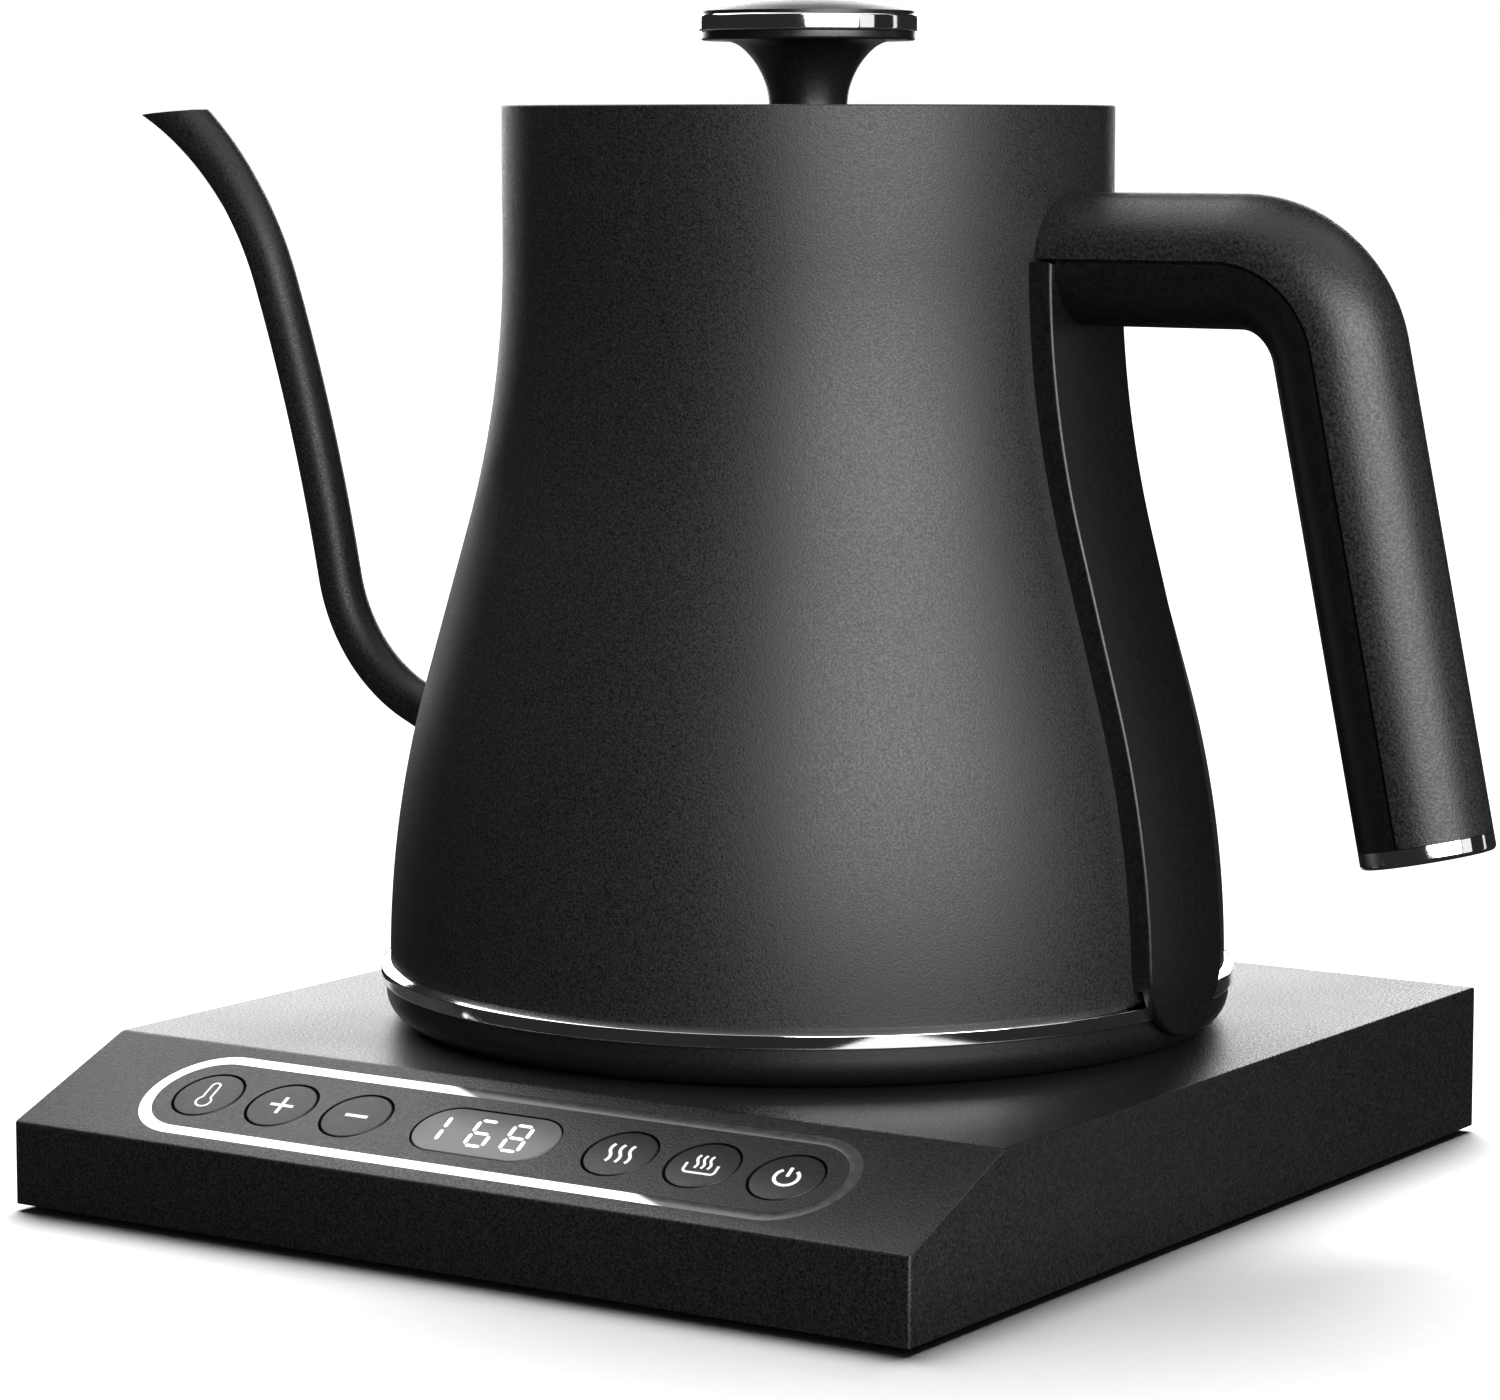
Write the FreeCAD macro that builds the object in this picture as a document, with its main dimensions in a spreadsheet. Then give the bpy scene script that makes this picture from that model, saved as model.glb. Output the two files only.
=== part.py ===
import FreeCAD, Part
import math
import os

import Sketcher
from FreeCAD import Placement, Rotation, Vector

# Gooseneck kettle on its electric base. Millimetres and degrees, +Z up. The kettle, its lid and its
# coupling are drawn about the kettle's own axis, with heights measured from the table, and every
# body is then moved by kettle_x and kettle_y, so that the origin is under the middle of the object.

os.makedirs("parts", exist_ok=True)
doc = FreeCAD.newDocument("gooseneck_kettle")

SIZES = {
    "kettle_x": (9.7, "kettle axis from the middle of the object, towards the handle"),
    "kettle_y": (11.4, "kettle axis from the middle of the object, towards the back"),
    # base
    "base_width": (180.0, "base, left to right"),
    "base_front": (110.5, "kettle axis to the front face"),
    "base_rear": (87.7, "kettle axis to the rear face"),
    "base_top": (27.0, "table to the top face"),
    "foot_gap": (1.2, "table to the housing"),
    "slope_foot": (15.5, "table to the lower edge of the sloping panel"),
    "slope_run": (28.2, "depth of the sloping panel, front to back"),
    "base_wall": (2.2, "wall of the base cover"),
    "base_edge": (0.5, "rounding of the base cover's edges"),
    "plate_thick": (2.4, "bottom plate"),
    "foot_radius": (7.0, "rubber foot"),
    "screw_radius": (1.45, "shank of every small screw"),
    "head_radius": (2.9, "head of every small screw"),
    # control panel
    "button_radius": (6.2, "push button"),
    "button_gap": (0.4, "round every button"),
    "button_first": (26.8, "panel centre to the nearest button"),
    "button_pitch": (15.9, "one button to the next"),
    "button_travel": (0.6, "stroke of a button"),
    "window_width": (28.0, "display window, end to end"),
    "window_tall": (12.6, "display window, across"),
    "band_width": (142.0, "light band, end to end"),
    "band_tall": (24.0, "light band, across"),
    "band_stroke": (2.3, "width of the light band itself"),
    "band_deep": (1.2, "groove for the light band"),
    "board_deep": (8.0, "panel face to the key board"),
    # coupling between base and kettle
    "boss_radius": (15.0, "coupling boss on the base"),
    "boss_rise": (7.5, "boss above the base"),
    "socket_radius": (15.5, "socket that drops over the boss"),
    "coupling_radius": (21.0, "kettle half of the coupling"),
    "hover": (0.3, "free gap between parts that move against each other"),
    # vessel
    "rim_top": (188.2, "table to the rim"),
    "neck_radius": (53.8, "outside of the neck"),
    "neck_low": (162.0, "lower end of the straight neck"),
    "neck_arc": (180.0, "hollow curve below the neck"),
    "flare": (15.3, "steepest slope of the side, from upright"),
    "belly_arc": (187.0, "full curve above the foot"),
    "belly_radius": (74.45, "widest radius of the vessel"),
    "shell_wall": (0.8, "sheet steel"),
    "shell_low": (34.5, "lower edge of the vessel"),
    "floor_top": (45.0, "water side of the vessel floor"),
    "floor_thick": (1.0, "vessel floor"),
    "trim_radius": (76.1, "chrome trim ring"),
    "trim_low": (34.3, "lower edge of the trim ring"),
    "foot_outer": (75.2, "black foot under the trim ring"),
    # lid
    "lid_radius": (51.6, "lid cover"),
    "lid_top": (187.4, "table to the lid's top face"),
    "seat_top": (177.2, "ledge that carries the lid"),
    "seat_hole": (47.2, "hole in the ledge"),
    "liner_radius": (46.4, "inner liner of the lid"),
    "stem_radius": (6.9, "knob stem at the lid"),
    "knob_radius": (18.8, "black disc of the knob"),
    "knob_ring_radius": (19.4, "chrome ring of the knob"),
    "knob_low": (199.5, "underside of the knob's disc"),
    "knob_ring_low": (201.1, "underside of the chrome ring"),
    "knob_ring_top": (204.0, "top of the chrome ring"),
    "knob_top": (206.8, "crown of the knob"),
    # spout
    "spout_radius": (4.1, "outside of the spout tube"),
    "spout_start": (64.4, "kettle axis to the start of the spout's line"),
    "spout_z": (66.25, "height of that start"),
    "spout_rise": (24.8, "slope of the spout's root"),
    "spout_root": (25.6, "length of the straight root"),
    "elbow_arc": (32.0, "bend radius at the elbow"),
    "elbow_end": (79.2, "slope after the elbow"),
    "riser_arc": (394.0, "gentle curve of the riser"),
    "riser_end": (70.8, "slope after the riser"),
    "crook_arc": (64.8, "bend radius at the top"),
    "crook_end": (55.0, "slope where the lip begins to open"),
    "lip_end": (27.0, "slope at the end of the lip"),
    "lip_radius": (4.9, "outside of the tube at the lip"),
    "mouth_low": (186.7, "tip of the beak"),
    "mouth_tilt": (4.3, "slope of the mouth's cut"),
    # handle
    "handle_radius": (11.3, "outside of the handle tube"),
    "handle_wall": (2.2, "wall of the handle mouldings"),
    "handle_z": (162.2, "height of the handle's level arm"),
    "handle_corner": (101.56, "kettle axis to the corner of the handle's line"),
    "handle_bend": (18.5, "bend radius of the handle"),
    "handle_splay": (11.8, "lean of the grip, from upright"),
    "handle_low": (64.6, "height of the grip's end, on its line"),
    "cap_thick": (3.0, "chrome end cap"),
    "parting": (0.3, "half of the groove between the handle's halves"),
    "strip_half": (12.5, "half of the strip's width"),
    "strip_proud": (2.8, "strip above the vessel"),
    "strip_tip": (30.5, "lowest point of the strip"),
}

sheet = doc.addObject("Spreadsheet::Sheet", "Sizes")
for row, (alias, (amount, note)) in enumerate(SIZES.items(), start=1):
    sheet.set(f"A{row}", note)
    sheet.set(f"B{row}", str(amount))
    sheet.setAlias(f"B{row}", alias)
doc.recompute()


class Size:
    """A length or angle: its value now, and the sheet expression that gives it."""

    def __init__(self, value, text=None):
        self.value = float(value)
        self.text = text or f"({self.value!r})"

    def __add__(self, other):
        other = as_size(other)
        return Size(self.value + other.value, f"({self.text} + {other.text})")

    def __sub__(self, other):
        other = as_size(other)
        return Size(self.value - other.value, f"({self.text} - {other.text})")

    def __mul__(self, other):
        other = as_size(other)
        return Size(self.value * other.value, f"({self.text} * {other.text})")

    def __truediv__(self, other):
        other = as_size(other)
        return Size(self.value / other.value, f"({self.text} / {other.text})")

    def __radd__(self, other):
        return as_size(other) + self

    def __rsub__(self, other):
        return as_size(other) - self

    def __rmul__(self, other):
        return as_size(other) * self

    def __neg__(self):
        return Size(-self.value, f"(-1 * {self.text})")


def as_size(number):
    return number if isinstance(number, Size) else Size(number)


def sine(angle):
    return Size(math.sin(math.radians(angle.value)), f"sin({angle.text})")


def cosine(angle):
    return Size(math.cos(math.radians(angle.value)), f"cos({angle.text})")


def tangent(angle):
    return sine(angle) / cosine(angle)


def root(size):
    return Size(math.sqrt(size.value), f"sqrt({size.text})")


def arctangent(size):
    return Size(math.degrees(math.atan(size.value)), f"atan({size.text})")


class Sheet:
    """The sheet's cells as sizes: s.base_top is the cell base_top."""

    def __getattr__(self, alias):
        return Size(SIZES[alias][0], f"Sizes.{alias}")


s = Sheet()
NIL = Size(0)


# Sketches and features


def new_body(name, separate=False):
    """A body for one sub-part. A group of like fasteners is allowed separate solids."""
    body = doc.addObject("PartDesign::Body", name)
    body.Label = name
    body.AllowCompound = separate
    return body


def bind(item, prop, size):
    item.setExpression(prop, as_size(size).text)


def sketch_on(body, role, name, lift=None, frame=None):
    """A sketch on one of the body's own planes, lifted along its normal or set in a turned frame."""
    plane = next(o for o in body.Origin.OriginFeatures if o.Role == role)
    sketch = body.newObject("Sketcher::SketchObject", f"{body.Name}_{name}")
    sketch.AttachmentSupport = [(plane, "")]
    sketch.MapMode = "FlatFace"
    if frame:
        axis, angle, base = frame
        sketch.AttachmentOffset = Placement(Vector(0, 0, 0), Rotation(axis, 1.0))
        bind(sketch, "AttachmentOffset.Rotation.Angle", angle)
        for letter, size in zip("xyz", base):
            bind(sketch, f"AttachmentOffset.Base.{letter}", size)
    if lift is not None:
        bind(sketch, "AttachmentOffset.Base.z", lift)
    return sketch


def hold(sketch, curve, end, x, y):
    """Hold an end (or the centre, 3) of a curve at x, y from the sketch's origin."""
    for kind, axis, size in (("DistanceX", -2, as_size(x)), ("DistanceY", -1, as_size(y))):
        if abs(size.value) < 1e-9:
            sketch.addConstraint(Sketcher.Constraint("PointOnObject", curve, end, axis))
            continue
        index = sketch.addConstraint(
            Sketcher.Constraint(kind, -1, 1, curve, end, size.value)
        )
        bind(sketch, f"Constraints[{index}]", size)


def arc_between(start, stop, radius):
    """The short arc from start to stop; it turns left where radius is positive."""
    chord = stop - start
    half = chord.Length / 2
    rise = math.sqrt(max(radius * radius - half * half, 0.0))
    left = Vector(-chord.y, chord.x, 0) / chord.Length
    centre = (start + stop) / 2 + left * math.copysign(rise, radius)
    first, last = (start, stop) if radius > 0 else (stop, start)
    begin = math.atan2(first.y - centre.y, first.x - centre.x)
    finish = math.atan2(last.y - centre.y, last.x - centre.x)
    if finish <= begin:
        finish += 2 * math.pi
    return Part.ArcOfCircle(Part.Circle(centre, Vector(0, 0, 1), abs(radius)), begin, finish)


def outline(sketch, points, closed=True):
    """Lines and arcs through the points. A third number in a point is the radius of the arc that
    arrives there, positive where it turns left."""
    points = [tuple(as_size(n) for n in point) for point in points]
    spots = [Vector(p[0].value, p[1].value, 0) for p in points]
    ends = []
    for i in range(0 if closed else 1, len(points)):
        if len(points[i]) == 2:
            curve = sketch.addGeometry(Part.LineSegment(spots[i - 1], spots[i]), False)
            ends.append((curve, 1, 2))
            continue
        radius = points[i][2]
        arc = arc_between(spots[i - 1], spots[i], radius.value)
        curve = sketch.addGeometry(arc, False)
        index = sketch.addConstraint(Sketcher.Constraint("Radius", curve, abs(radius.value)))
        bind(sketch, f"Constraints[{index}]", radius if radius.value > 0 else -radius)
        ends.append((curve, 1, 2) if radius.value > 0 else (curve, 2, 1))
    for (curve, _, stop), (after, start, _) in zip(ends, ends[1:]):
        sketch.addConstraint(Sketcher.Constraint("Coincident", curve, stop, after, start))
    if closed:
        join = Sketcher.Constraint("Coincident", ends[-1][0], ends[-1][2], ends[0][0], ends[0][1])
        sketch.addConstraint(join)
    else:
        hold(sketch, ends[0][0], ends[0][1], *points[0][:2])
        points = points[1:]
    for (curve, _, stop), point in zip(ends, points):
        hold(sketch, curve, stop, *point[:2])
    return sketch


def circle(sketch, x, y, radius):
    x, y, radius = as_size(x), as_size(y), as_size(radius)
    ring = Part.Circle(Vector(x.value, y.value, 0), Vector(0, 0, 1), radius.value)
    curve = sketch.addGeometry(ring, False)
    hold(sketch, curve, 3, x, y)
    index = sketch.addConstraint(Sketcher.Constraint("Radius", curve, radius.value))
    bind(sketch, f"Constraints[{index}]", radius)
    return sketch


def rectangle(sketch, x0, y0, x1, y1):
    return outline(sketch, [(x1, y0), (x1, y1), (x0, y1), (x0, y0)])


def stadium(sketch, width, tall):
    """A slot shape about the origin: two straight sides and two full-round ends."""
    radius = as_size(tall) / 2
    side = as_size(width) / 2 - radius
    end = as_size(width) / 2
    right = [(side, -radius), (end, NIL, radius), (side, radius, radius)]
    left = [(-side, radius), (-end, NIL, radius), (-side, -radius, radius)]
    return outline(sketch, right + left)


CUTS = ("PartDesign::Pocket", "PartDesign::Groove", "PartDesign::SubtractivePipe")


def feature(body, kind, sketch, **settings):
    """Add a feature and make sure that it added or removed material as it should."""
    before = body.Shape.Volume if body.Tip else 0.0
    item = body.newObject(kind, sketch.Name + "_made")
    item.Profile = sketch
    for prop, setting in settings.items():
        if isinstance(setting, Size):
            bind(item, prop, setting)
        else:
            setattr(item, prop, setting)
    doc.recompute()
    change = body.Shape.Volume - before
    if (kind in CUTS) == (change > 0) or abs(change) < 1e-4:
        raise RuntimeError(f"{item.Name} changed the volume by {change:.4f}")
    return item


def pad(body, sketch, length, **settings):
    return feature(body, "PartDesign::Pad", sketch, Length=as_size(length), **settings)


def pocket(body, sketch, length, **settings):
    return feature(body, "PartDesign::Pocket", sketch, Length=as_size(length), **settings)


def turn(body, sketch, angle=360, **settings):
    axis = (sketch, ["V_Axis"])
    return feature(
        body, "PartDesign::Revolution", sketch, ReferenceAxis=axis, Angle=angle, **settings
    )


def groove(body, sketch):
    return feature(body, "PartDesign::Groove", sketch, ReferenceAxis=(sketch, ["V_Axis"]))


def soften(body, radius, chosen):
    """Round the edges of the body's last feature for which chosen(edge) is true."""
    last = body.Tip
    names = [f"Edge{i}" for i, e in enumerate(last.Shape.Edges, start=1) if chosen(e)]
    if not names:
        raise RuntimeError(f"{body.Name} has no edge to round")
    item = body.newObject("PartDesign::Fillet", last.Name + "_rounded")
    item.Base = (last, names)
    bind(item, "Radius", radius)
    doc.recompute()
    return item


def circle_at(radius, height):
    """Choose the full circles about Z of this radius at this height."""

    def chosen(edge):
        if not isinstance(edge.Curve, Part.Circle):
            return False
        near = abs(edge.Curve.Radius - as_size(radius).value) < 0.01
        return near and abs(edge.CenterOfMass.z - as_size(height).value) < 0.01

    return chosen


def turned_piece(name, points):
    """A piece turned about the kettle axis from one closed outline of (radius, height) points."""
    body = new_body(name)
    turn(body, outline(sketch_on(body, "XZ_Plane", "profile"), points))
    return body


pieces = []


def place_at_kettle(body):
    """Stand a piece that is drawn about the kettle axis."""
    bind(body, "Placement.Base.x", s.kettle_x)
    bind(body, "Placement.Base.y", s.kettle_y)
    pieces.append(body)


# The sloping panel's frame: x along the panel, y up the slope, z out of its face.

slope_climb = s.base_top - s.slope_foot
slope_angle = arctangent(slope_climb / s.slope_run)
slope_tangent = slope_climb / s.slope_run
slope_stretch = root(slope_tangent * slope_tangent + 1)
PANEL = (
    Vector(1, 0, 0),
    slope_angle,
    (NIL, s.slope_run / 2 - s.base_front, s.slope_foot + slope_climb / 2),
)


def place_on_panel(body, along=NIL):
    """Stand a piece that is drawn in the panel's frame, some way along the panel."""
    axis, angle, base = PANEL
    body.Placement = Placement(Vector(0, 0, 0), Rotation(axis, 1.0))
    bind(body, "Placement.Rotation.Angle", angle)
    bind(body, "Placement.Base.x", s.kettle_x + along)
    bind(body, "Placement.Base.y", s.kettle_y + base[1])
    bind(body, "Placement.Base.z", base[2])
    pieces.append(body)


BUTTONS = {
    "temperature": -(s.button_first + 2 * s.button_pitch),
    "plus": -(s.button_first + s.button_pitch),
    "minus": -s.button_first,
    "keep_warm": s.button_first,
    "boil": s.button_first + s.button_pitch,
    "power": s.button_first + 2 * s.button_pitch,
}


# Base

SCREW_POSTS = [(x, y) for x in (-80, 80) for y in (-74, 56)]
FEET = [(x, y) for x in (-76, 76) for y in (-96, 74)]
GLAND_Z = 13.0
GLAND_BORE = 3.6
GLAND_RADIUS = 6.0
CONNECTOR_FLANGE = 26.0


def base_cover():
    body = new_body("base_cover")
    front = -s.base_front
    side = sketch_on(body, "YZ_Plane", "side")
    outline(side, [
        (s.base_rear, s.foot_gap),
        (s.base_rear, s.base_top),
        (front + s.slope_run, s.base_top),
        (front, s.slope_foot),
        (front, s.foot_gap),
    ])
    pad(body, side, s.base_width, SideType="Symmetric")
    low = s.foot_gap.value

    def upper(edge):
        return edge.BoundBox.ZMax > low + 1

    soften(body, s.base_edge, upper)
    inner_top = s.base_top - s.base_wall
    inner_front = front + s.base_wall
    inner_foot = s.slope_foot + s.base_wall * slope_tangent - s.base_wall * slope_stretch
    inner_end = inner_front + (inner_top - inner_foot) / slope_tangent
    hollow = sketch_on(body, "YZ_Plane", "hollow")
    outline(hollow, [
        (s.base_rear - s.base_wall, s.foot_gap - 1),
        (s.base_rear - s.base_wall, inner_top),
        (inner_end, inner_top),
        (inner_front, inner_foot),
        (inner_front, s.foot_gap - 1),
    ])
    pocket(body, hollow, s.base_width - 2 * s.base_wall, SideType="Symmetric")
    posts = sketch_on(body, "XY_Plane", "posts", lift=s.foot_gap + s.plate_thick)
    for x, y in SCREW_POSTS:
        circle(posts, x, y, 4)
    pad(body, posts, s.base_top - s.base_wall / 2 - s.foot_gap - s.plate_thick)
    threads = sketch_on(body, "XY_Plane", "threads", lift=s.foot_gap + s.plate_thick)
    for x, y in SCREW_POSTS:
        circle(threads, x, y, s.screw_radius + 0.05)
    pocket(body, threads, 12, Reversed=True)
    panel_cuts(body)
    boss = circle(sketch_on(body, "XY_Plane", "boss", lift=s.base_top + 1), 0, 0, s.boss_radius + 0.1)
    pocket(body, boss, s.base_wall + 2)
    gland = sketch_on(body, "XZ_Plane", "gland", lift=-(s.base_rear + 1))
    circle(gland, 0, GLAND_Z, GLAND_RADIUS)
    pocket(body, gland, s.base_wall + 2, Reversed=True)
    place_at_kettle(body)


def panel_cuts(body):
    """The panel's button holes, display window and the groove for its light band."""
    holes = sketch_on(body, "XY_Plane", "button_holes", frame=panel_frame(1))
    for along in BUTTONS.values():
        circle(holes, along, NIL, s.button_radius + s.button_gap)
    pocket(body, holes, s.base_wall + 2)
    window = sketch_on(body, "XY_Plane", "window_hole", frame=panel_frame(1))
    stadium(window, s.window_width + 0.6, s.window_tall + 0.6)
    pocket(body, window, s.base_wall + 2)
    band = sketch_on(body, "XY_Plane", "band_groove", frame=panel_frame(0))
    stadium(band, s.band_width, s.band_tall)
    stadium(band, s.band_width - 2 * s.band_stroke, s.band_tall - 2 * s.band_stroke)
    pocket(body, band, s.band_deep)
    bosses = sketch_on(body, "XY_Plane", "board_bosses", frame=panel_frame(-s.board_deep))
    for x, y in BOARD_SCREWS:
        circle(bosses, x, y, 2.6)
    pad(body, bosses, s.board_deep - s.base_wall + 0.4)
    pilots = sketch_on(body, "XY_Plane", "board_pilots", frame=panel_frame(-s.board_deep))
    for x, y in BOARD_SCREWS:
        circle(pilots, x, y, 1.05)
    pocket(body, pilots, 4.5, Reversed=True)


BOARD_SCREWS = [(x, y) for x in (-67.5, 67.5) for y in (-6.5, 6.5)]


def panel_frame(out):
    """The panel's frame, moved out along its normal."""
    axis, angle, base = PANEL
    out = as_size(out)
    return (axis, angle, (base[0], base[1] - out * sine(angle), base[2] + out * cosine(angle)))


def base_plate():
    body = new_body("base_plate")
    half = s.base_width / 2 - s.base_wall
    front = -s.base_front + s.base_wall
    plate = sketch_on(body, "XY_Plane", "plate", lift=s.foot_gap)
    rectangle(plate, -half, front, half, s.base_rear - s.base_wall)
    pad(body, plate, s.plate_thick)
    shanks = sketch_on(body, "XY_Plane", "screw_holes", lift=s.foot_gap)
    heads = sketch_on(body, "XY_Plane", "screw_seats", lift=s.foot_gap)
    for x, y in SCREW_POSTS:
        circle(shanks, x, y, s.screw_radius + 0.2)
        circle(heads, x, y, s.head_radius + 0.2)
    pocket(body, shanks, s.plate_thick, Reversed=True)
    pocket(body, heads, s.plate_thick / 2, Reversed=True)
    seats = sketch_on(body, "XY_Plane", "foot_seats", lift=s.foot_gap)
    for x, y in FEET:
        circle(seats, x, y, s.foot_radius)
    pocket(body, seats, 0.8, Reversed=True)
    place_at_kettle(body)


def base_feet():
    body = new_body("base_feet", separate=True)
    discs = sketch_on(body, "XY_Plane", "discs")
    for x, y in FEET:
        circle(discs, x, y, s.foot_radius)
    pad(body, discs, s.foot_gap + 0.8)
    soften(body, 0.4, circle_at(s.foot_radius, 0))
    place_at_kettle(body)


def screw_group(name, spots, low, head_tall, length, head_radius, shank_radius, upward=True):
    """Screws on upright axes: a head at low and a shank beyond it, with a socket in the head."""
    body = new_body(name, separate=True)
    heads = sketch_on(body, "XY_Plane", "heads", lift=low)
    shanks = sketch_on(body, "XY_Plane", "shanks", lift=low)
    sockets = sketch_on(body, "XY_Plane", "sockets", lift=low)
    for x, y in spots:
        circle(heads, x, y, head_radius)
        circle(shanks, x, y, shank_radius)
        circle(sockets, x, y, as_size(shank_radius) * 0.8)
    pad(body, heads, head_tall, Reversed=not upward)
    pad(body, shanks, length, Reversed=not upward)
    pocket(body, sockets, as_size(head_tall) * 0.6, Reversed=upward)
    return body


def base_connector():
    """The base's half of the coupling: a flanged boss with a middle hole and two ring slots."""
    top = s.base_top + s.boss_rise
    roof = s.base_top - s.base_wall
    body = turned_piece("base_connector", [
        (3, s.foot_gap + s.plate_thick),
        (s.boss_radius + 3, s.foot_gap + s.plate_thick),
        (s.boss_radius + 3, roof - 2.5),
        (CONNECTOR_FLANGE, roof - 2.5),
        (CONNECTOR_FLANGE, roof),
        (s.boss_radius, roof),
        (s.boss_radius, top - 1),
        (s.boss_radius - 1, top, 1),
        (13, top),
        (13, top - 6),
        (10, top - 6),
        (10, top),
        (8.5, top),
        (8.5, top - 6),
        (5.5, top - 6),
        (5.5, top),
        (3, top),
    ])
    place_at_kettle(body)


def ring_pair(name, bands, low, high):
    """Two concentric contact rings as one group."""
    body = new_body(name, separate=True)
    rings = sketch_on(body, "XY_Plane", "rings", lift=low)
    for inner, outer in bands:
        circle(rings, 0, 0, outer)
        circle(rings, 0, 0, inner)
    pad(body, rings, as_size(high) - low)
    place_at_kettle(body)


def panel_board():
    body = new_body("panel_board")
    board = sketch_on(body, "XY_Plane", "board", lift=-s.board_deep)
    rectangle(board, -72, -10, 72, 10)
    pad(body, board, 1.6, Reversed=True)
    holes = sketch_on(body, "XY_Plane", "screw_holes", lift=-s.board_deep)
    for x, y in BOARD_SCREWS:
        circle(holes, x, y, 1.2)
    pocket(body, holes, 1.6)
    place_on_panel(body)


def key_switches():
    """Six tactile switches on the key board, one under each button."""
    body = new_body("key_switches", separate=True)
    cases = sketch_on(body, "XY_Plane", "cases", lift=-s.board_deep)
    stems = sketch_on(body, "XY_Plane", "stems", lift=-s.board_deep)
    for along in BUTTONS.values():
        rectangle(cases, along - 3, -3, along + 3, 3)
        circle(stems, along, NIL, 1.7)
    pad(body, cases, 3.0)
    pad(body, stems, s.board_deep - button_underside() - s.button_travel - 0.1)
    place_on_panel(body)


def button_underside():
    """Depth of a button's lower face below the panel's face."""
    return s.base_wall + s.hover + 1.0


def push_button(name, along):
    """A round key: a cap that fills its hole and a wider foot that holds it in behind the panel."""
    body = new_body(f"button_{name}")
    foot = sketch_on(body, "XY_Plane", "foot", lift=-button_underside())
    circle(foot, 0, 0, s.button_radius + s.button_gap + 0.8)
    pad(body, foot, 1.0)
    cap = sketch_on(body, "XY_Plane", "cap", lift=-button_underside())
    circle(cap, 0, 0, s.button_radius)
    pad(body, cap, button_underside())
    soften(body, 0.3, circle_at(s.button_radius, 0))
    place_on_panel(body, along)


def display_window():
    body = new_body("display_window")
    face = stadium(sketch_on(body, "XY_Plane", "face"), s.window_width, s.window_tall)
    pad(body, face, s.base_wall, Reversed=True)
    flange = sketch_on(body, "XY_Plane", "flange", lift=-s.base_wall)
    stadium(flange, s.window_width + 3, s.window_tall + 3)
    pad(body, flange, 0.8, Reversed=True)
    place_on_panel(body)


def display_module():
    body = new_body("display_module")
    block = sketch_on(body, "XY_Plane", "block", lift=-s.board_deep)
    rectangle(block, -13, -5.5, 13, 5.5)
    pad(body, block, s.board_deep - s.base_wall - 0.8)
    place_on_panel(body)


def control_ring():
    """The light guide that runs round all the controls."""
    body = new_body("control_ring")
    band = sketch_on(body, "XY_Plane", "band", lift=-s.band_deep)
    stadium(band, s.band_width, s.band_tall)
    stadium(band, s.band_width - 2 * s.band_stroke, s.band_tall - 2 * s.band_stroke)
    pad(body, band, s.band_deep)
    place_on_panel(body)


POWER_BOARD = (-60, 30, 60, 78)
STANDOFFS = [(x, y) for x in (-56, 56) for y in (34, 74)]
POWER_BOARD_LOW = 8.6
BOARD_THICK = 1.6


def block(name, x0, y0, x1, y1, low, high):
    """A plain boxed component with its long edges rounded."""
    body = new_body(name)
    face = sketch_on(body, "XY_Plane", "face", lift=low)
    rectangle(face, x0, y0, x1, y1)
    pad(body, face, as_size(high) - low)
    return body


def power_electronics():
    """The power board on its standoffs, with its relay, transformer and sounder."""
    board = block("power_board", *POWER_BOARD, POWER_BOARD_LOW, POWER_BOARD_LOW + BOARD_THICK)
    holes = sketch_on(board, "XY_Plane", "holes", lift=POWER_BOARD_LOW)
    for x, y in STANDOFFS:
        circle(holes, x, y, 1.6)
    pocket(board, holes, BOARD_THICK, Reversed=True)
    place_at_kettle(board)
    spacers = new_body("board_standoffs", separate=True)
    posts = sketch_on(spacers, "XY_Plane", "posts", lift=s.foot_gap + s.plate_thick)
    studs = sketch_on(spacers, "XY_Plane", "studs", lift=s.foot_gap + s.plate_thick)
    for x, y in STANDOFFS:
        circle(posts, x, y, 3)
        circle(studs, x, y, 1.5)
    pad(spacers, posts, POWER_BOARD_LOW - s.foot_gap - s.plate_thick)
    pad(spacers, studs, POWER_BOARD_LOW + BOARD_THICK + 2 - s.foot_gap - s.plate_thick)
    place_at_kettle(spacers)
    top = POWER_BOARD_LOW + BOARD_THICK
    relay = block("relay", -44, 44, -25, 60, top, top + 12.5)
    soften(relay, 0.8, lambda edge: edge.BoundBox.ZMin > top + 1)
    place_at_kettle(relay)
    place_at_kettle(transformer(top))
    sounder = new_body("buzzer")
    pad(sounder, circle(sketch_on(sounder, "XY_Plane", "can", lift=top), -8, 66, 6), 7)
    pocket(sounder, circle(sketch_on(sounder, "XY_Plane", "port", lift=top + 7), -8, 66, 1.2), 3)
    place_at_kettle(sounder)


def transformer(low):
    """A laminated core with its wound bobbin."""
    body = block("transformer", 12, 44, 38, 62, low, low + 13)
    gaps = sketch_on(body, "XZ_Plane", "windows", lift=-70)
    for x in (16, 27):
        rectangle(gaps, x, low + 3, x + 7, low + 10)
    pocket(body, gaps, 40, Reversed=True)
    winding = sketch_on(body, "XY_Plane", "winding", lift=low + 3.5)
    rectangle(winding, 17, 41, 33, 65)
    pad(body, winding, 6)
    return body


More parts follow.
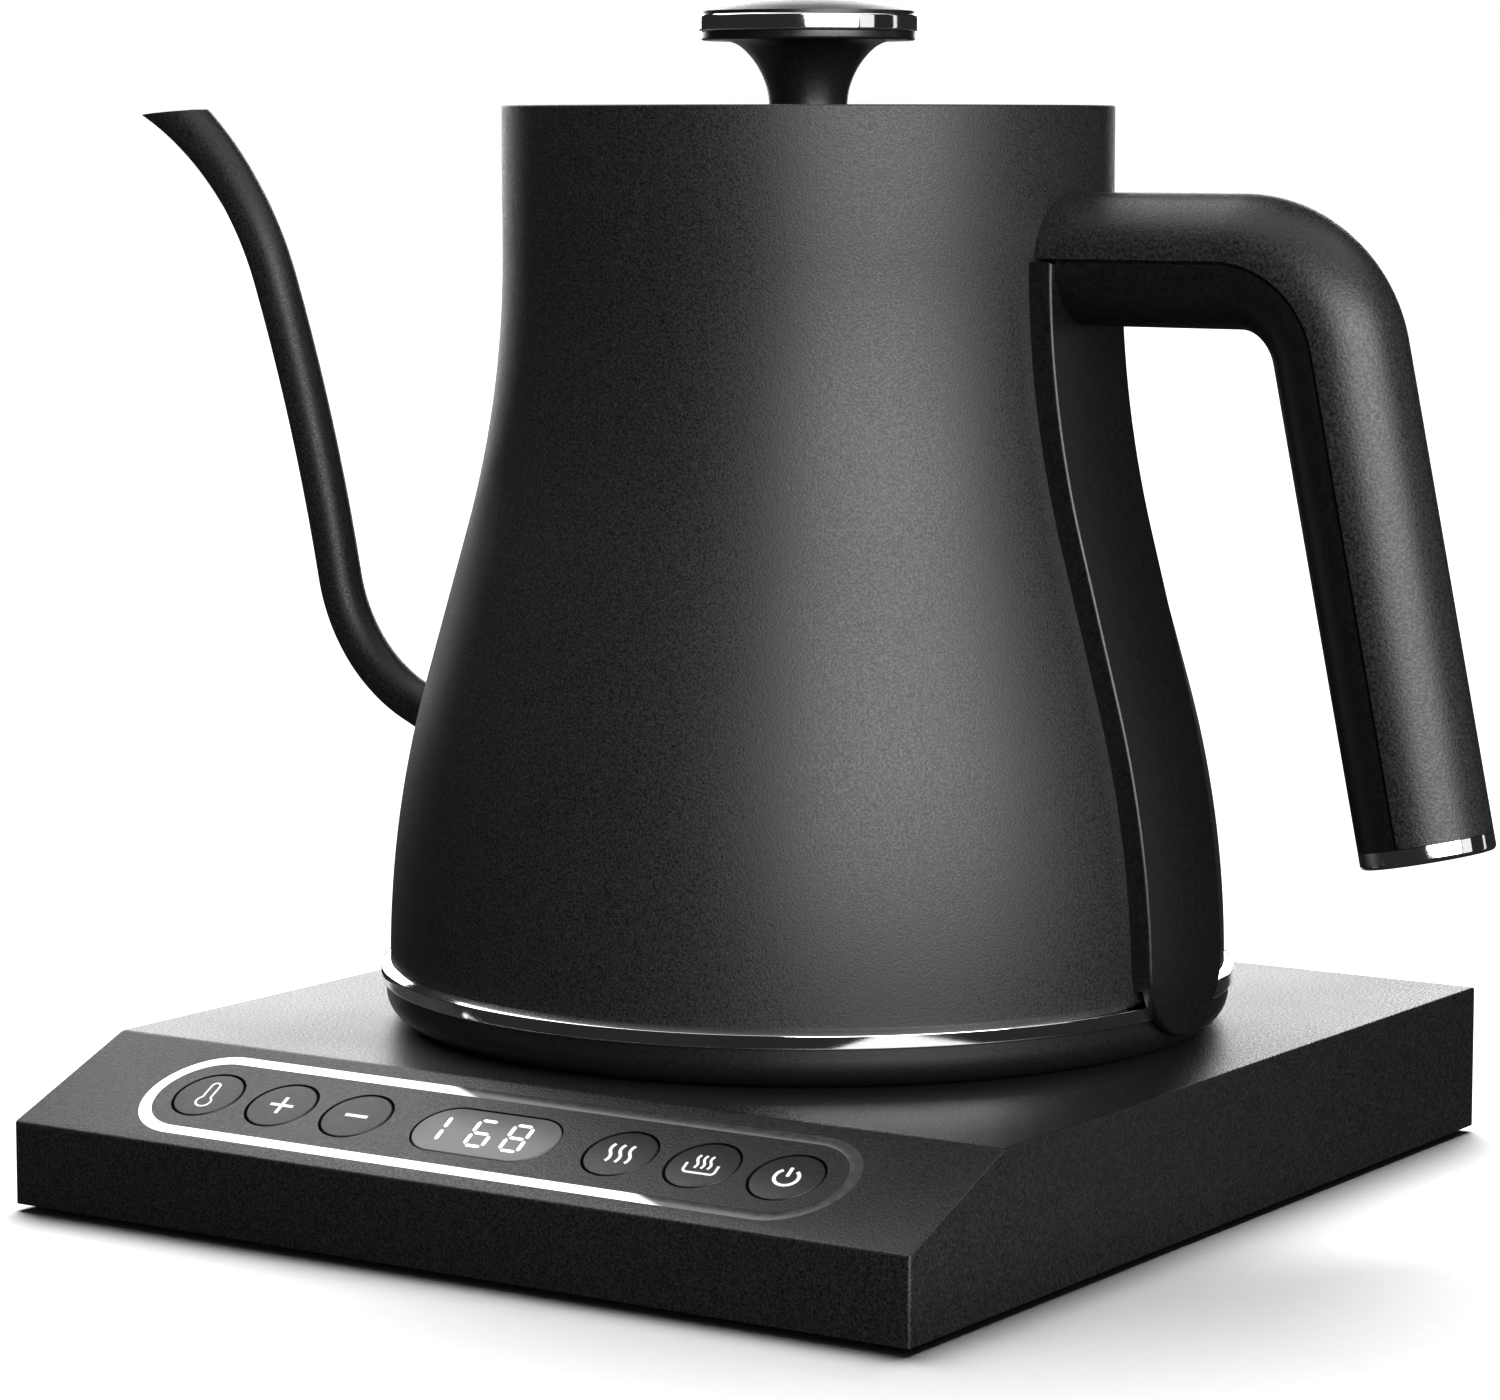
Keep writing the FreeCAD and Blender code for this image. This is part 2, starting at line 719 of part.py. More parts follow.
def cord_gland():
    """The rubber bush in the rear wall that the mains lead passes through."""
    body = new_body("cord_gland")
    bush = sketch_on(body, "XZ_Plane", "bush", lift=-s.base_rear)
    circle(bush, 0, GLAND_Z, GLAND_RADIUS)
    pad(body, bush, s.base_wall + 6)
    flange = sketch_on(body, "XZ_Plane", "flange", lift=-(s.base_rear - s.base_wall))
    circle(flange, 0, GLAND_Z, GLAND_RADIUS + 1.8)
    pad(body, flange, 1.8)
    bore = sketch_on(body, "XZ_Plane", "bore", lift=-s.base_rear)
    circle(bore, 0, GLAND_Z, GLAND_BORE)
    pocket(body, bore, s.base_wall + 6, Reversed=True)
    place_at_kettle(body)


# Kettle half of the coupling


def kettle_connector():
    """The kettle's half: a flanged cup that drops over the base's boss and turns round it freely."""
    low = s.base_top + s.hover + 0.2
    roof = s.base_top + s.boss_rise + 0.8
    ledge = s.base_top + s.hover + 2.0 + s.hover
    body = turned_piece("kettle_connector", [
        (NIL, roof),
        (s.socket_radius, roof),
        (s.socket_radius, low + 1),
        (s.socket_radius + 1, low),
        (s.coupling_radius, low),
        (s.coupling_radius, ledge),
        (s.coupling_radius + 4, ledge),
        (s.coupling_radius + 4, ledge + 1.6),
        (s.coupling_radius, ledge + 1.6),
        (s.coupling_radius, roof + 2),
        (NIL, roof + 2),
    ])
    place_at_kettle(body)


def connector_pins():
    """The middle pin and two ring blades that enter the base's slots."""
    roof = s.base_top + s.boss_rise + 0.8
    low = s.base_top + 3.2
    body = new_body("connector_pins", separate=True)
    blades = sketch_on(body, "XY_Plane", "blades", lift=low)
    circle(blades, 0, 0, 2.2)
    for inner, outer in ((6.9, 7.7), (11.4, 12.2)):
        circle(blades, 0, 0, outer)
        circle(blades, 0, 0, inner)
    pad(body, blades, roof - low)
    place_at_kettle(body)


# Vessel


def side_curve(out, upward=False):
    """The vessel's side as an outline, moved out by some amount: neck, hollow, straight, belly."""
    out = as_size(out)
    arcs = s.neck_arc + s.belly_arc
    straight = (s.belly_radius - s.neck_radius - arcs * (1 - cosine(s.flare))) / sine(s.flare)
    belly_z = s.neck_low - arcs * sine(s.flare) - straight * cosine(s.flare)
    hollow = s.neck_arc - out
    full = s.belly_arc + out
    neck = (s.neck_radius + out, s.neck_low)
    upper = (
        s.neck_radius + s.neck_arc - hollow * cosine(s.flare),
        s.neck_low - hollow * sine(s.flare),
    )
    lower = (
        s.belly_radius - s.belly_arc + full * cosine(s.flare),
        belly_z + full * sine(s.flare),
    )
    belly = (s.belly_radius + out, belly_z)
    if upward:
        return [belly, lower + (full,), upper, neck + (-hollow,)]
    return [neck, upper + (hollow,), lower, belly + (-full,)]


def belly_width_at(height, out):
    """Radius of the belly's curve, moved out by some amount, at a height."""
    reach = s.belly_arc + out
    lift = height - side_curve(0)[3][1]
    return s.belly_radius - s.belly_arc + root(reach * reach - lift * lift)


def spout_spots():
    """Ends of the spout line's pieces as (distance left of the axis, height), with bend radii."""
    at = [(s.spout_start, s.spout_z)]
    x = s.spout_start + s.spout_root * cosine(s.spout_rise)
    z = s.spout_z + s.spout_root * sine(s.spout_rise)
    at.append((x, z))
    bends = (
        (s.elbow_arc, s.spout_rise, s.elbow_end, 1),
        (s.riser_arc, s.elbow_end, s.riser_end, -1),
        (s.crook_arc, s.riser_end, s.crook_end, -1),
        (s.crook_arc, s.crook_end, s.lip_end, -1),
    )
    for radius, start, stop, way in bends:
        x = x + radius * (sine(stop) - sine(start)) * way
        z = z + radius * (cosine(start) - cosine(stop)) * way
        at.append((x, z, radius * way))
    return at


def mirrored(points):
    """The same outline on the other side of the kettle axis."""
    return [(-as_size(p[0]), p[1]) + tuple(-n for n in p[2:]) for p in points]


def across_spout(spot, slope):
    """The frame of a section square to the spout's line at a spot."""
    return (Vector(0, 1, 0), slope - 90, (-spot[0], NIL, spot[1]))


def body_shell():
    inner = s.shell_wall
    points = [(s.neck_radius, s.rim_top)] + side_curve(0)
    points += [(s.belly_radius, s.shell_low), (s.belly_radius - inner, s.shell_low)]
    points += side_curve(-inner, upward=True) + [(s.neck_radius - inner, s.rim_top)]
    body = turned_piece("body_shell", points)
    soften(body, 0.35, circle_at(s.neck_radius, s.rim_top))
    hole = sketch_on(
        body, "XY_Plane", "spout_hole", frame=across_spout(spout_spots()[0], s.spout_rise)
    )
    circle(hole, 0, 0, s.spout_radius - s.shell_wall)
    pocket(body, hole, 14, Reversed=True)
    place_at_kettle(body)


def tube_section(body, name, spot, slope, outer):
    sketch = sketch_on(body, "XY_Plane", name, frame=across_spout(spot, slope))
    circle(sketch, 0, 0, outer)
    circle(sketch, 0, 0, outer - s.shell_wall)
    return sketch


def spout():
    """A bent tube, butted to the vessel's side, that opens a little towards its slanted mouth."""
    body = new_body("spout")
    at = spout_spots()
    line = outline(sketch_on(body, "XZ_Plane", "line"), mirrored(at[:5]), closed=False)
    section = tube_section(body, "section", at[0], s.spout_rise, s.spout_radius)
    feature(body, "PartDesign::AdditivePipe", section, Spine=(line, [""]))
    lip_line = outline(sketch_on(body, "XZ_Plane", "lip_line"), mirrored(at[4:]), closed=False)
    lip_start = tube_section(body, "lip_start", at[4], s.crook_end, s.spout_radius)
    lip_stop = tube_section(body, "lip_stop", at[5], s.lip_end, s.lip_radius)
    feature(
        body, "PartDesign::AdditivePipe", lip_start, Spine=(lip_line, [""]),
        Transformation="Multisection", Sections=[(lip_stop, [""])],
    )
    beak = 152.1
    mouth = sketch_on(body, "XZ_Plane", "mouth")
    outline(mouth, [
        (-beak - 20, s.mouth_low - 20 * tangent(s.mouth_tilt)),
        (-beak + 60, s.mouth_low + 60 * tangent(s.mouth_tilt)),
        (-beak + 60, s.mouth_low + 40),
        (-beak - 20, s.mouth_low + 40),
    ])
    pocket(body, mouth, 40, SideType="Symmetric")
    inside = [(NIL, s.neck_low)] + side_curve(0)
    inside += [(s.belly_radius, s.shell_low), (NIL, s.shell_low)]
    groove(body, outline(sketch_on(body, "XZ_Plane", "vessel_side"), inside))
    place_at_kettle(body)


def lid_seat():
    """The ledge welded inside the neck that carries the lid."""
    outer = s.neck_radius - s.shell_wall
    place_at_kettle(turned_piece("lid_seat", [
        (outer, s.seat_top - 1.2),
        (outer, s.seat_top + 6.8),
        (outer - 0.7, s.seat_top + 6.8),
        (outer - 0.7, s.seat_top),
        (s.seat_hole, s.seat_top),
        (s.seat_hole, s.seat_top - 1.2),
    ]))


TRIM_TALL = 3.3


def trim_ring():
    """The polished ring round the vessel's lower edge, bevelled along its top."""
    inner = s.belly_radius + 0.05
    place_at_kettle(turned_piece("trim_ring", [
        (inner, s.trim_low),
        (s.trim_radius - 0.3, s.trim_low),
        (s.trim_radius, s.trim_low + 0.3, 0.3),
        (s.trim_radius, s.trim_low + 2.3),
        (inner + 0.15, s.trim_low + TRIM_TALL),
        (inner, s.trim_low + TRIM_TALL),
    ]))


def foot_housing():
    """The black moulded tray that closes the kettle underneath and holds the coupling."""
    low = s.base_top + s.hover
    spigot = s.belly_radius - s.shell_wall - 0.1
    body = turned_piece("foot_housing", [
        (s.coupling_radius + s.hover, low),
        (s.foot_outer - 5, low),
        (s.foot_outer, low + 5, 5),
        (s.foot_outer, s.trim_low - 0.05),
        (spigot, s.trim_low - 0.05),
        (spigot, s.floor_top - 4),
        (spigot - 2, s.floor_top - 4),
        (spigot - 2, low + 2),
        (s.coupling_radius + s.hover, low + 2),
    ])
    holes = sketch_on(body, "XY_Plane", "screw_holes", lift=low)
    seats = sketch_on(body, "XY_Plane", "screw_seats", lift=low)
    for x, y in FOOT_SCREWS:
        circle(holes, x, y, s.screw_radius + 0.2)
        circle(seats, x, y, s.head_radius + 0.2)
    pocket(body, holes, 3, Reversed=True)
    pocket(body, seats, 1.2, Reversed=True)
    place_at_kettle(body)


FOOT_SCREW_CIRCLE = 62.0
FOOT_SCREWS = [
    (FOOT_SCREW_CIRCLE * math.cos(math.radians(a)), FOOT_SCREW_CIRCLE * math.sin(math.radians(a)))
    for a in (60, 180, 300)
]
PROBE = (-34.0, -48.0)


def vessel_floor():
    """The welded bottom of the water space, with the studs that the foot is screwed to."""
    body = new_body("vessel_floor")
    low = s.floor_top - s.floor_thick
    radius = belly_width_at(s.floor_top, -s.shell_wall) - 0.02
    disc = circle(sketch_on(body, "XY_Plane", "disc", lift=low), 0, 0, radius)
    pad(body, disc, s.floor_thick)
    stud_low = s.base_top + s.hover + 2.1
    studs = sketch_on(body, "XY_Plane", "studs", lift=stud_low)
    for x, y in FOOT_SCREWS:
        circle(studs, x, y, 3.2)
    pad(body, studs, low - stud_low)
    bores = sketch_on(body, "XY_Plane", "bores", lift=stud_low)
    for x, y in FOOT_SCREWS:
        circle(bores, x, y, s.screw_radius + 0.05)
    pocket(body, bores, 10, Reversed=True)
    hole = circle(sketch_on(body, "XY_Plane", "probe_hole", lift=low), *PROBE, 4)
    pocket(body, hole, s.floor_thick, Reversed=True)
    place_at_kettle(body)


ELEMENT_CIRCLE = 42.0
ELEMENT_RADIUS = 3.5
SPREADER_THICK = 3.0


def heat_spreader():
    body = new_body("heat_spreader")
    low = s.floor_top - s.floor_thick - SPREADER_THICK
    pad(body, circle(sketch_on(body, "XY_Plane", "disc", lift=low), 0, 0, 52.5), SPREADER_THICK)
    place_at_kettle(body)


def heating_element():
    """The sheathed element, an open ring brazed under the heat spreader."""
    body = new_body("heating_element")
    z = s.floor_top - s.floor_thick - SPREADER_THICK - ELEMENT_RADIUS
    section = sketch_on(body, "XZ_Plane", "section")
    circle(section, ELEMENT_CIRCLE, z, ELEMENT_RADIUS)
    turn(body, section, angle=320)
    place_at_kettle(body)


def element_terminals():
    """The two cold pins that stand down from the element's ends."""
    body = new_body("element_terminals", separate=True)
    top = s.floor_top - s.floor_thick - SPREADER_THICK - 2 * ELEMENT_RADIUS
    low = s.base_top + s.hover + 3
    pins = sketch_on(body, "XY_Plane", "pins", lift=low)
    for degrees in (3.5, -43.5):
        angle = math.radians(degrees)
        circle(pins, ELEMENT_CIRCLE * math.cos(angle), ELEMENT_CIRCLE * math.sin(angle), 1.5)
    pad(body, pins, top - low)
    place_at_kettle(body)


def temperature_probe():
    """The closed steel tube that carries the sensor up into the water."""
    body = new_body("temperature_probe")
    low = s.floor_top - 9
    pad(body, circle(sketch_on(body, "XY_Plane", "tube", lift=low), *PROBE, 2.4), 24)
    soften(body, 1.2, circle_at(2.4, low + 24))
    place_at_kettle(body)
    seal = new_body("probe_seal")
    under = s.floor_top - s.floor_thick - 2
    flange = sketch_on(seal, "XY_Plane", "flange", lift=under)
    circle(flange, *PROBE, 5.5)
    circle(flange, *PROBE, 2.4)
    pad(seal, flange, 2)
    neck = sketch_on(seal, "XY_Plane", "neck", lift=under)
    circle(neck, *PROBE, 4)
    circle(neck, *PROBE, 2.4)
    pad(seal, neck, 4)
    place_at_kettle(seal)


def thermal_cutout():
    """The bimetal safety switch clamped to the heat spreader."""
    body = new_body("thermal_cutout")
    top = s.floor_top - s.floor_thick - SPREADER_THICK
    pad(body, circle(sketch_on(body, "XY_Plane", "can", lift=top - 5), -30.5, 0, 6.5), 5)
    tabs = sketch_on(body, "XY_Plane", "tabs", lift=top - 9)
    rectangle(tabs, -34.5, -2, -34, 2)
    rectangle(tabs, -27, -2, -26.5, 2)
    body.AllowCompound = True
    pad(body, tabs, 4)
    place_at_kettle(body)


# Handle


def handle_spots(start, stop):
    """The handle's line from x = start to a distance stop short of the end of the grip."""
    run = s.handle_bend * tangent((90 - s.handle_splay) / 2)
    reach = (s.handle_z - s.handle_low) / cosine(s.handle_splay) - stop
    return [
        (start, s.handle_z),
        (s.handle_corner - run, s.handle_z),
        (
            s.handle_corner + run * sine(s.handle_splay),
            s.handle_z - run * cosine(s.handle_splay),
            -s.handle_bend,
        ),
        (
            s.handle_corner + reach * sine(s.handle_splay),
            s.handle_z - reach * cosine(s.handle_splay),
        ),
    ]


def sweep_handle(body, start, stop, points):
    line = outline(
        sketch_on(body, "XZ_Plane", "line"), handle_spots(as_size(start), stop), closed=False
    )
    section = outline(sketch_on(body, "YZ_Plane", "section", lift=start), points)
    feature(body, "PartDesign::AdditivePipe", section, Spine=(line, [""]))


def trim_at_neck(body):
    """Cut the root of a swept piece to the round of the vessel's neck."""
    neck = sketch_on(body, "XY_Plane", "neck", lift=s.handle_z - 30)
    circle(neck, 0, 0, s.neck_radius + 0.05)
    pocket(body, neck, 60, Reversed=True)


def handle_shell():
    """The outer half of the handle, grained, from the neck over the bend to the end cap."""
    body = new_body("handle_shell")
    outer = s.handle_radius
    inner = outer - s.handle_wall
    flat = s.handle_z + s.parting
    wide = root(outer * outer - s.parting * s.parting)
    narrow = root(inner * inner - s.parting * s.parting)
    sweep_handle(body, 49, s.cap_thick, [
        (wide, flat),
        (NIL, s.handle_z + outer, outer),
        (-wide, flat, outer),
        (-narrow, flat),
        (NIL, s.handle_z + inner, -inner),
        (narrow, flat, -inner),
    ])
    trim_at_neck(body)
    place_at_kettle(body)


def strip_face(out):
    """The strip's flat outer face as a side outline."""
    return side_curve(s.strip_proud + out)


def handle_insert():
    """The inner half of the handle, smooth, with a lip that closes the parting groove."""
    body = new_body("handle_insert")
    outer = s.handle_radius
    inner = outer - s.handle_wall
    lip = outer - 1.0
    low = s.handle_z - s.parting
    high = s.handle_z + s.parting
    wide = root(outer * outer - s.parting * s.parting)
    narrow = root(inner * inner - s.parting * s.parting)
    sweep_handle(body, 55, s.cap_thick, [
        (-wide, low),
        (NIL, s.handle_z - outer, outer),
        (wide, low, outer),
        (lip, low),
        (lip, high),
        (narrow, high),
        (NIL, s.handle_z - inner, -inner),
        (-narrow, high, -inner),
        (-lip, high),
        (-lip, low),
    ])
    face = [(40, s.neck_low + 20), (s.neck_radius + s.strip_proud + 0.05, s.neck_low + 20)]
    face += strip_face(0.05)[:2] + [(40, strip_face(0.05)[1][1])]
    cut = outline(sketch_on(body, "XZ_Plane", "strip_side"), list(reversed_lines(face)))
    pocket(body, cut, 40, SideType="Symmetric")
    place_at_kettle(body)


def reversed_lines(points):
    """The same outline, gone round the other way."""
    count = len(points)
    for i in range(count - 1, -1, -1):
        after = points[(i + 1) % count]
        here = tuple(points[i][:2])
        yield here + ((-as_size(after[2]),) if len(after) == 3 else ())


def handle_strip():
    """The flat strip down the vessel's side under the handle, over the trim ring, to a round tip."""
    body = new_body("handle_strip")
    half = s.strip_half
    top = s.handle_z - s.parting
    notch = 6.2
    front = sketch_on(body, "YZ_Plane", "front", lift=45)
    outline(front, [
        (half, top),
        (notch, top),
        (notch, s.handle_z - 1.7),
        (-notch, s.handle_z - 1.7),
        (-notch, top),
        (-half, top),
        (-half, s.strip_tip + half),
        (NIL, s.strip_tip, half),
        (half, s.strip_tip + half, half),
    ])
    pad(body, front, 45)
    proud = s.strip_proud
    face = [(s.neck_radius + proud, s.neck_low + 20)] + strip_face(0)
    face += [(s.belly_radius + proud, 20), (110, 20), (110, s.neck_low + 20)]
    pocket(body, outline(sketch_on(body, "XZ_Plane", "face"), face), 60, SideType="Symmetric")
    gap = 0.05
    step = s.trim_low + TRIM_TALL + 2
    full = s.belly_arc + gap
    back = [(NIL, s.neck_low + 20), (s.neck_radius + gap, s.neck_low + 20)] + side_curve(gap)[:3]
    back += [(belly_width_at(step, gap), step, -full), (s.trim_radius + gap, step)]
    back += [(s.trim_radius + gap, 20), (NIL, 20)]
    groove(body, outline(sketch_on(body, "XZ_Plane", "back"), mirrored(back)))
    place_at_kettle(body)


CORE_BOSS = 5.0


def handle_core():
    """The steel bar inside the handle, welded to the neck, with a tapped boss for the end cap."""
    body = new_body("handle_core")
    sweep_handle(body, 49, Size(22), [
        (6, s.handle_z - 1.5),
        (6, s.handle_z + 1.5),
        (-6, s.handle_z + 1.5),
        (-6, s.handle_z - 1.5),
    ])
    trim_at_neck(body)
    boss = sketch_on(body, "XY_Plane", "boss", frame=across_grip(10))
    circle(boss, 0, 0, CORE_BOSS)
    pad(body, boss, 16)
    bore = sketch_on(body, "XY_Plane", "bore", frame=across_grip(10))
    circle(bore, 0, 0, s.screw_radius + 0.05)
    pocket(body, bore, 12, Reversed=True)
    place_at_kettle(body)


def across_grip(up):
    """The frame square to the grip's line, some way up from its end, with z towards the bend."""
    end_x, end_z = handle_spots(NIL, NIL)[3]
    up = as_size(up)
    x = end_x - up * sine(s.handle_splay)
    z = end_z + up * cosine(s.handle_splay)
    return (Vector(0, 1, 0), -s.handle_splay, (x, NIL, z))


def place_on_grip(body):
    """Stand a piece that is drawn about the grip's line, with z = 0 at the end of the grip."""
    axis, angle, base = across_grip(0)
    body.Placement = Placement(Vector(0, 0, 0), Rotation(axis, 1.0))
    bind(body, "Placement.Rotation.Angle", angle)
    bind(body, "Placement.Base.x", s.kettle_x + base[0])
    bind(body, "Placement.Base.y", s.kettle_y)
    bind(body, "Placement.Base.z", base[2])
    pieces.append(body)


def handle_cap():
    """The chrome cap on the end of the grip, with a spigot inside the mouldings."""
    spigot = s.handle_radius - s.handle_wall - 0.1
    edge = 0.8
    face = s.cap_thick - 0.1
    place_on_grip(turned_piece("handle_cap", [
        (3.2, NIL),
        (s.handle_radius - edge, NIL),
        (s.handle_radius, edge, edge),
        (s.handle_radius, face),
        (spigot, face),
        (spigot, face + 5),
        (spigot - 1.5, face + 5),
        (spigot - 1.5, face),
        (1.7, face),
        (1.7, 1.7),
        (3.2, 1.7),
    ]))


def cap_screw():
    body = screw_group("cap_screw", [(0, 0)], 0.2, 1.4, 18, s.head_radius, s.screw_radius)
    place_on_grip(body)


# Lid


def steam_vents(body, height):
    """Three small holes on the spout's side of the lid."""
    vents = sketch_on(body, "XY_Plane", "vents", lift=height)
    for degrees in (168, 180, 192):
        angle = math.radians(degrees)
        circle(vents, 42 * math.cos(angle), 42 * math.sin(angle), 1.3)
    return vents


def lid_cover():
    top = s.lid_top
    low = s.seat_top + 0.4
    sheet_top = top - s.shell_wall
    body = turned_piece("lid_cover", [
        (2.1, top),
        (2.1, sheet_top),
        (s.lid_radius - s.shell_wall, sheet_top),
        (s.lid_radius - s.shell_wall, low),
        (s.lid_radius, low),
        (s.lid_radius, top - 1.2),
        (s.lid_radius - 1.2, top, 1.2),
    ])
    pocket(body, steam_vents(body, top), 2)
    place_at_kettle(body)


def lid_liner():
    """The steel cup pressed into the cover, which closes the lid underneath."""
    top = s.lid_top - s.shell_wall
    low = s.seat_top - 7.2
    inner = s.liner_radius - s.shell_wall
    body = turned_piece("lid_liner", [
        (NIL, low),
        (s.liner_radius - 1, low),
        (s.liner_radius, low + 1, 1),
        (s.liner_radius, top),
        (inner, top),
        (inner, low + s.shell_wall),
        (NIL, low + s.shell_wall),
    ])
    pocket(body, steam_vents(body, low), 2, Reversed=True)
    place_at_kettle(body)


def lid_gasket():
    """The silicone ring round the liner, below the ledge."""
    low = s.seat_top - 5.6
    place_at_kettle(turned_piece("lid_gasket", [
        (s.liner_radius + 0.02, low),
        (s.liner_radius + 0.35, low),
        (s.liner_radius + 0.5, low + 1.5),
        (s.liner_radius + 0.35, low + 3),
        (s.liner_radius + 0.02, low + 3),
    ]))


KNOB_SCREW_BORE = 2.0


def knob_stem():
    """The flared black stem, moulded in one with the disc that carries the chrome ring."""
    steep = Size(48)
    sweep = Size(13.5)
    start = s.lid_top + 0.6
    shoulder_z = start + sweep * sine(steep)
    shoulder_r = s.stem_radius + sweep * (1 - cosine(steep))
    under = s.knob_low
    bend = (under - shoulder_z) / (1 - sine(steep))
    body = turned_piece("knob_stem", [
        (KNOB_SCREW_BORE, s.lid_top),
        (s.stem_radius, s.lid_top),
        (s.stem_radius, start),
        (shoulder_r, shoulder_z, -sweep),
        (shoulder_r + bend * cosine(steep), under, -bend),
        (s.knob_radius - 0.5, under),
        (s.knob_radius, under + 0.5, 0.5),
        (s.knob_radius, s.knob_ring_low),
        (NIL, s.knob_ring_low),
        (NIL, s.knob_low - 3),
        (KNOB_SCREW_BORE, s.knob_low - 3),
    ])
    place_at_kettle(body)


def knob_ring():
    low = s.knob_ring_low
    top = s.knob_ring_top
    edge = 0.45
    place_at_kettle(turned_piece("knob_ring", [
        (16, low),
        (s.knob_ring_radius - edge, low),
        (s.knob_ring_radius, low + edge, edge),
        (s.knob_ring_radius, top - edge),
        (s.knob_ring_radius - edge, top, edge),
        (16, top),
    ]))


def knob_cap():
    """The black disc set into the chrome ring, its top slightly domed."""
    top = s.knob_top
    rim = s.knob_ring_top + 0.6
    reach = s.knob_radius - 0.1
    rise = top - rim
    crown = (reach * reach + rise * rise) / (2 * rise)
    place_at_kettle(turned_piece("knob_cap", [
        (NIL, s.knob_ring_low + 0.05),
        (15.95, s.knob_ring_low + 0.05),
        (15.95, s.knob_ring_top + 0.02),
        (reach, s.knob_ring_top + 0.02),
        (reach, rim),
        (NIL, top, crown),
    ]))


def knob_fixings():
    plate = s.lid_top - s.shell_wall
    washer = new_body("knob_washer")
    ring = sketch_on(washer, "XY_Plane", "ring", lift=plate - 1)
    circle(ring, 0, 0, 6)
    circle(ring, 0, 0, 2.1)
    pad(washer, ring, 1)
    place_at_kettle(washer)
    low = plate - 3.4
    place_at_kettle(screw_group("knob_screw", [(0, 0)], low, 2.4, 13, 4, 1.95))


def build():
    base_cover()
    base_plate()
    base_feet()
    seat = s.foot_gap + 0.05
    place_at_kettle(screw_group(
        "base_screws", SCREW_POSTS, seat, s.plate_thick / 2 - 0.05, 12, s.head_radius, s.screw_radius
    ))
    base_connector()
    boss_top = s.base_top + s.boss_rise
    ring_pair("base_contacts", ((5.55, 6.3), (10.05, 10.8)), boss_top - 6, boss_top - 2)
    panel_board()
    place_on_panel(screw_group(
        "board_screws", BOARD_SCREWS, -s.board_deep - 3.0, 1.4, 5.5, 2, 1, upward=True
    ))
    key_switches()
    for name, along in BUTTONS.items():
        push_button(name, along)
    display_window()
    display_module()
    control_ring()
    power_electronics()
    cord_gland()
    kettle_connector()
    connector_pins()
    body_shell()
    spout()
    lid_seat()
    trim_ring()
    foot_housing()
    foot_low = s.base_top + s.hover
    place_at_kettle(screw_group(
        "foot_screws", FOOT_SCREWS, foot_low + 0.1, 1.1, 9, s.head_radius, s.screw_radius
    ))
    vessel_floor()
    heat_spreader()
    heating_element()
    element_terminals()
    temperature_probe()
    thermal_cutout()
    handle_shell()
    handle_insert()
    handle_strip()
    handle_core()
    handle_cap()
    cap_screw()
    lid_cover()
    lid_liner()
    lid_gasket()
    knob_stem()
    knob_ring()
    knob_cap()
    knob_fixings()


def check_and_export():
    doc.recompute()
    for item in doc.Objects:
        if "Invalid" in item.State or "Error" in item.State:
            raise RuntimeError(f"{item.Name} is {item.State}")
    for body in pieces:
        if body.Shape.isNull() or not body.Shape.isValid():
            raise RuntimeError(f"{body.Label} has no valid shape")
    for body in pieces:
        body.Shape.exportStep(f"parts/{body.Label}.step")
        print(body.Label, len(body.Shape.Solids), round(body.Shape.Volume, 1))


build()
check_and_export()
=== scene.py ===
import math

import bmesh
import bpy
from mathutils import Matrix, Vector


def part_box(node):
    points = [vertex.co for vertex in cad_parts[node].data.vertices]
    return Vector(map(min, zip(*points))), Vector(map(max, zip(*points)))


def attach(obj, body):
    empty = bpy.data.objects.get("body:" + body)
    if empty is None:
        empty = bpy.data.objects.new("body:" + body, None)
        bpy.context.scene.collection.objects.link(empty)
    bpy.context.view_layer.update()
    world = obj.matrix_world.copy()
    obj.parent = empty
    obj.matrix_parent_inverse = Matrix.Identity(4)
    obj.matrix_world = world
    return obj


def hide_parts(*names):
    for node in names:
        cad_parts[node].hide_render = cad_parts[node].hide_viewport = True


# A gooseneck kettle on its electric base, put together in the order of assembly. Lengths are
# written in millimetres and reach Blender in metres, in the frame that the CAD parts share.

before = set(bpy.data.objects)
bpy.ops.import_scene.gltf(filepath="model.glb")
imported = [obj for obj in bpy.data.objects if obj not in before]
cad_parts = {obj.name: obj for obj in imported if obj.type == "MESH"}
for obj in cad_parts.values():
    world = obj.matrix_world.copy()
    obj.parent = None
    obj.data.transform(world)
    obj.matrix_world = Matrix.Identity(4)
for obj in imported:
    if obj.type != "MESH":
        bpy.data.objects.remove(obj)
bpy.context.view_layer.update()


# The base cover: one black ABS moulding, open underneath, with a sloping panel along its front.
# Its faces have a fine spark-eroded grain; the panel is pierced for the keys and the display, and
# four posts inside take the screws of the bottom plate.

MM = 0.001
TINY = 0.01


def let_go():
    """Leave edit mode with nothing selected."""
    if bpy.context.mode != "OBJECT":
        bpy.ops.object.mode_set(mode="OBJECT")
    bpy.ops.object.select_all(action="DESELECT")


def take(piece):
    """Select one piece and nothing else."""
    let_go()
    piece.select_set(True)
    bpy.context.view_layer.objects.active = piece


def span(node):
    """A CAD node's lowest and highest corner, in millimetres."""
    low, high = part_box(node)
    return low / MM, high / MM


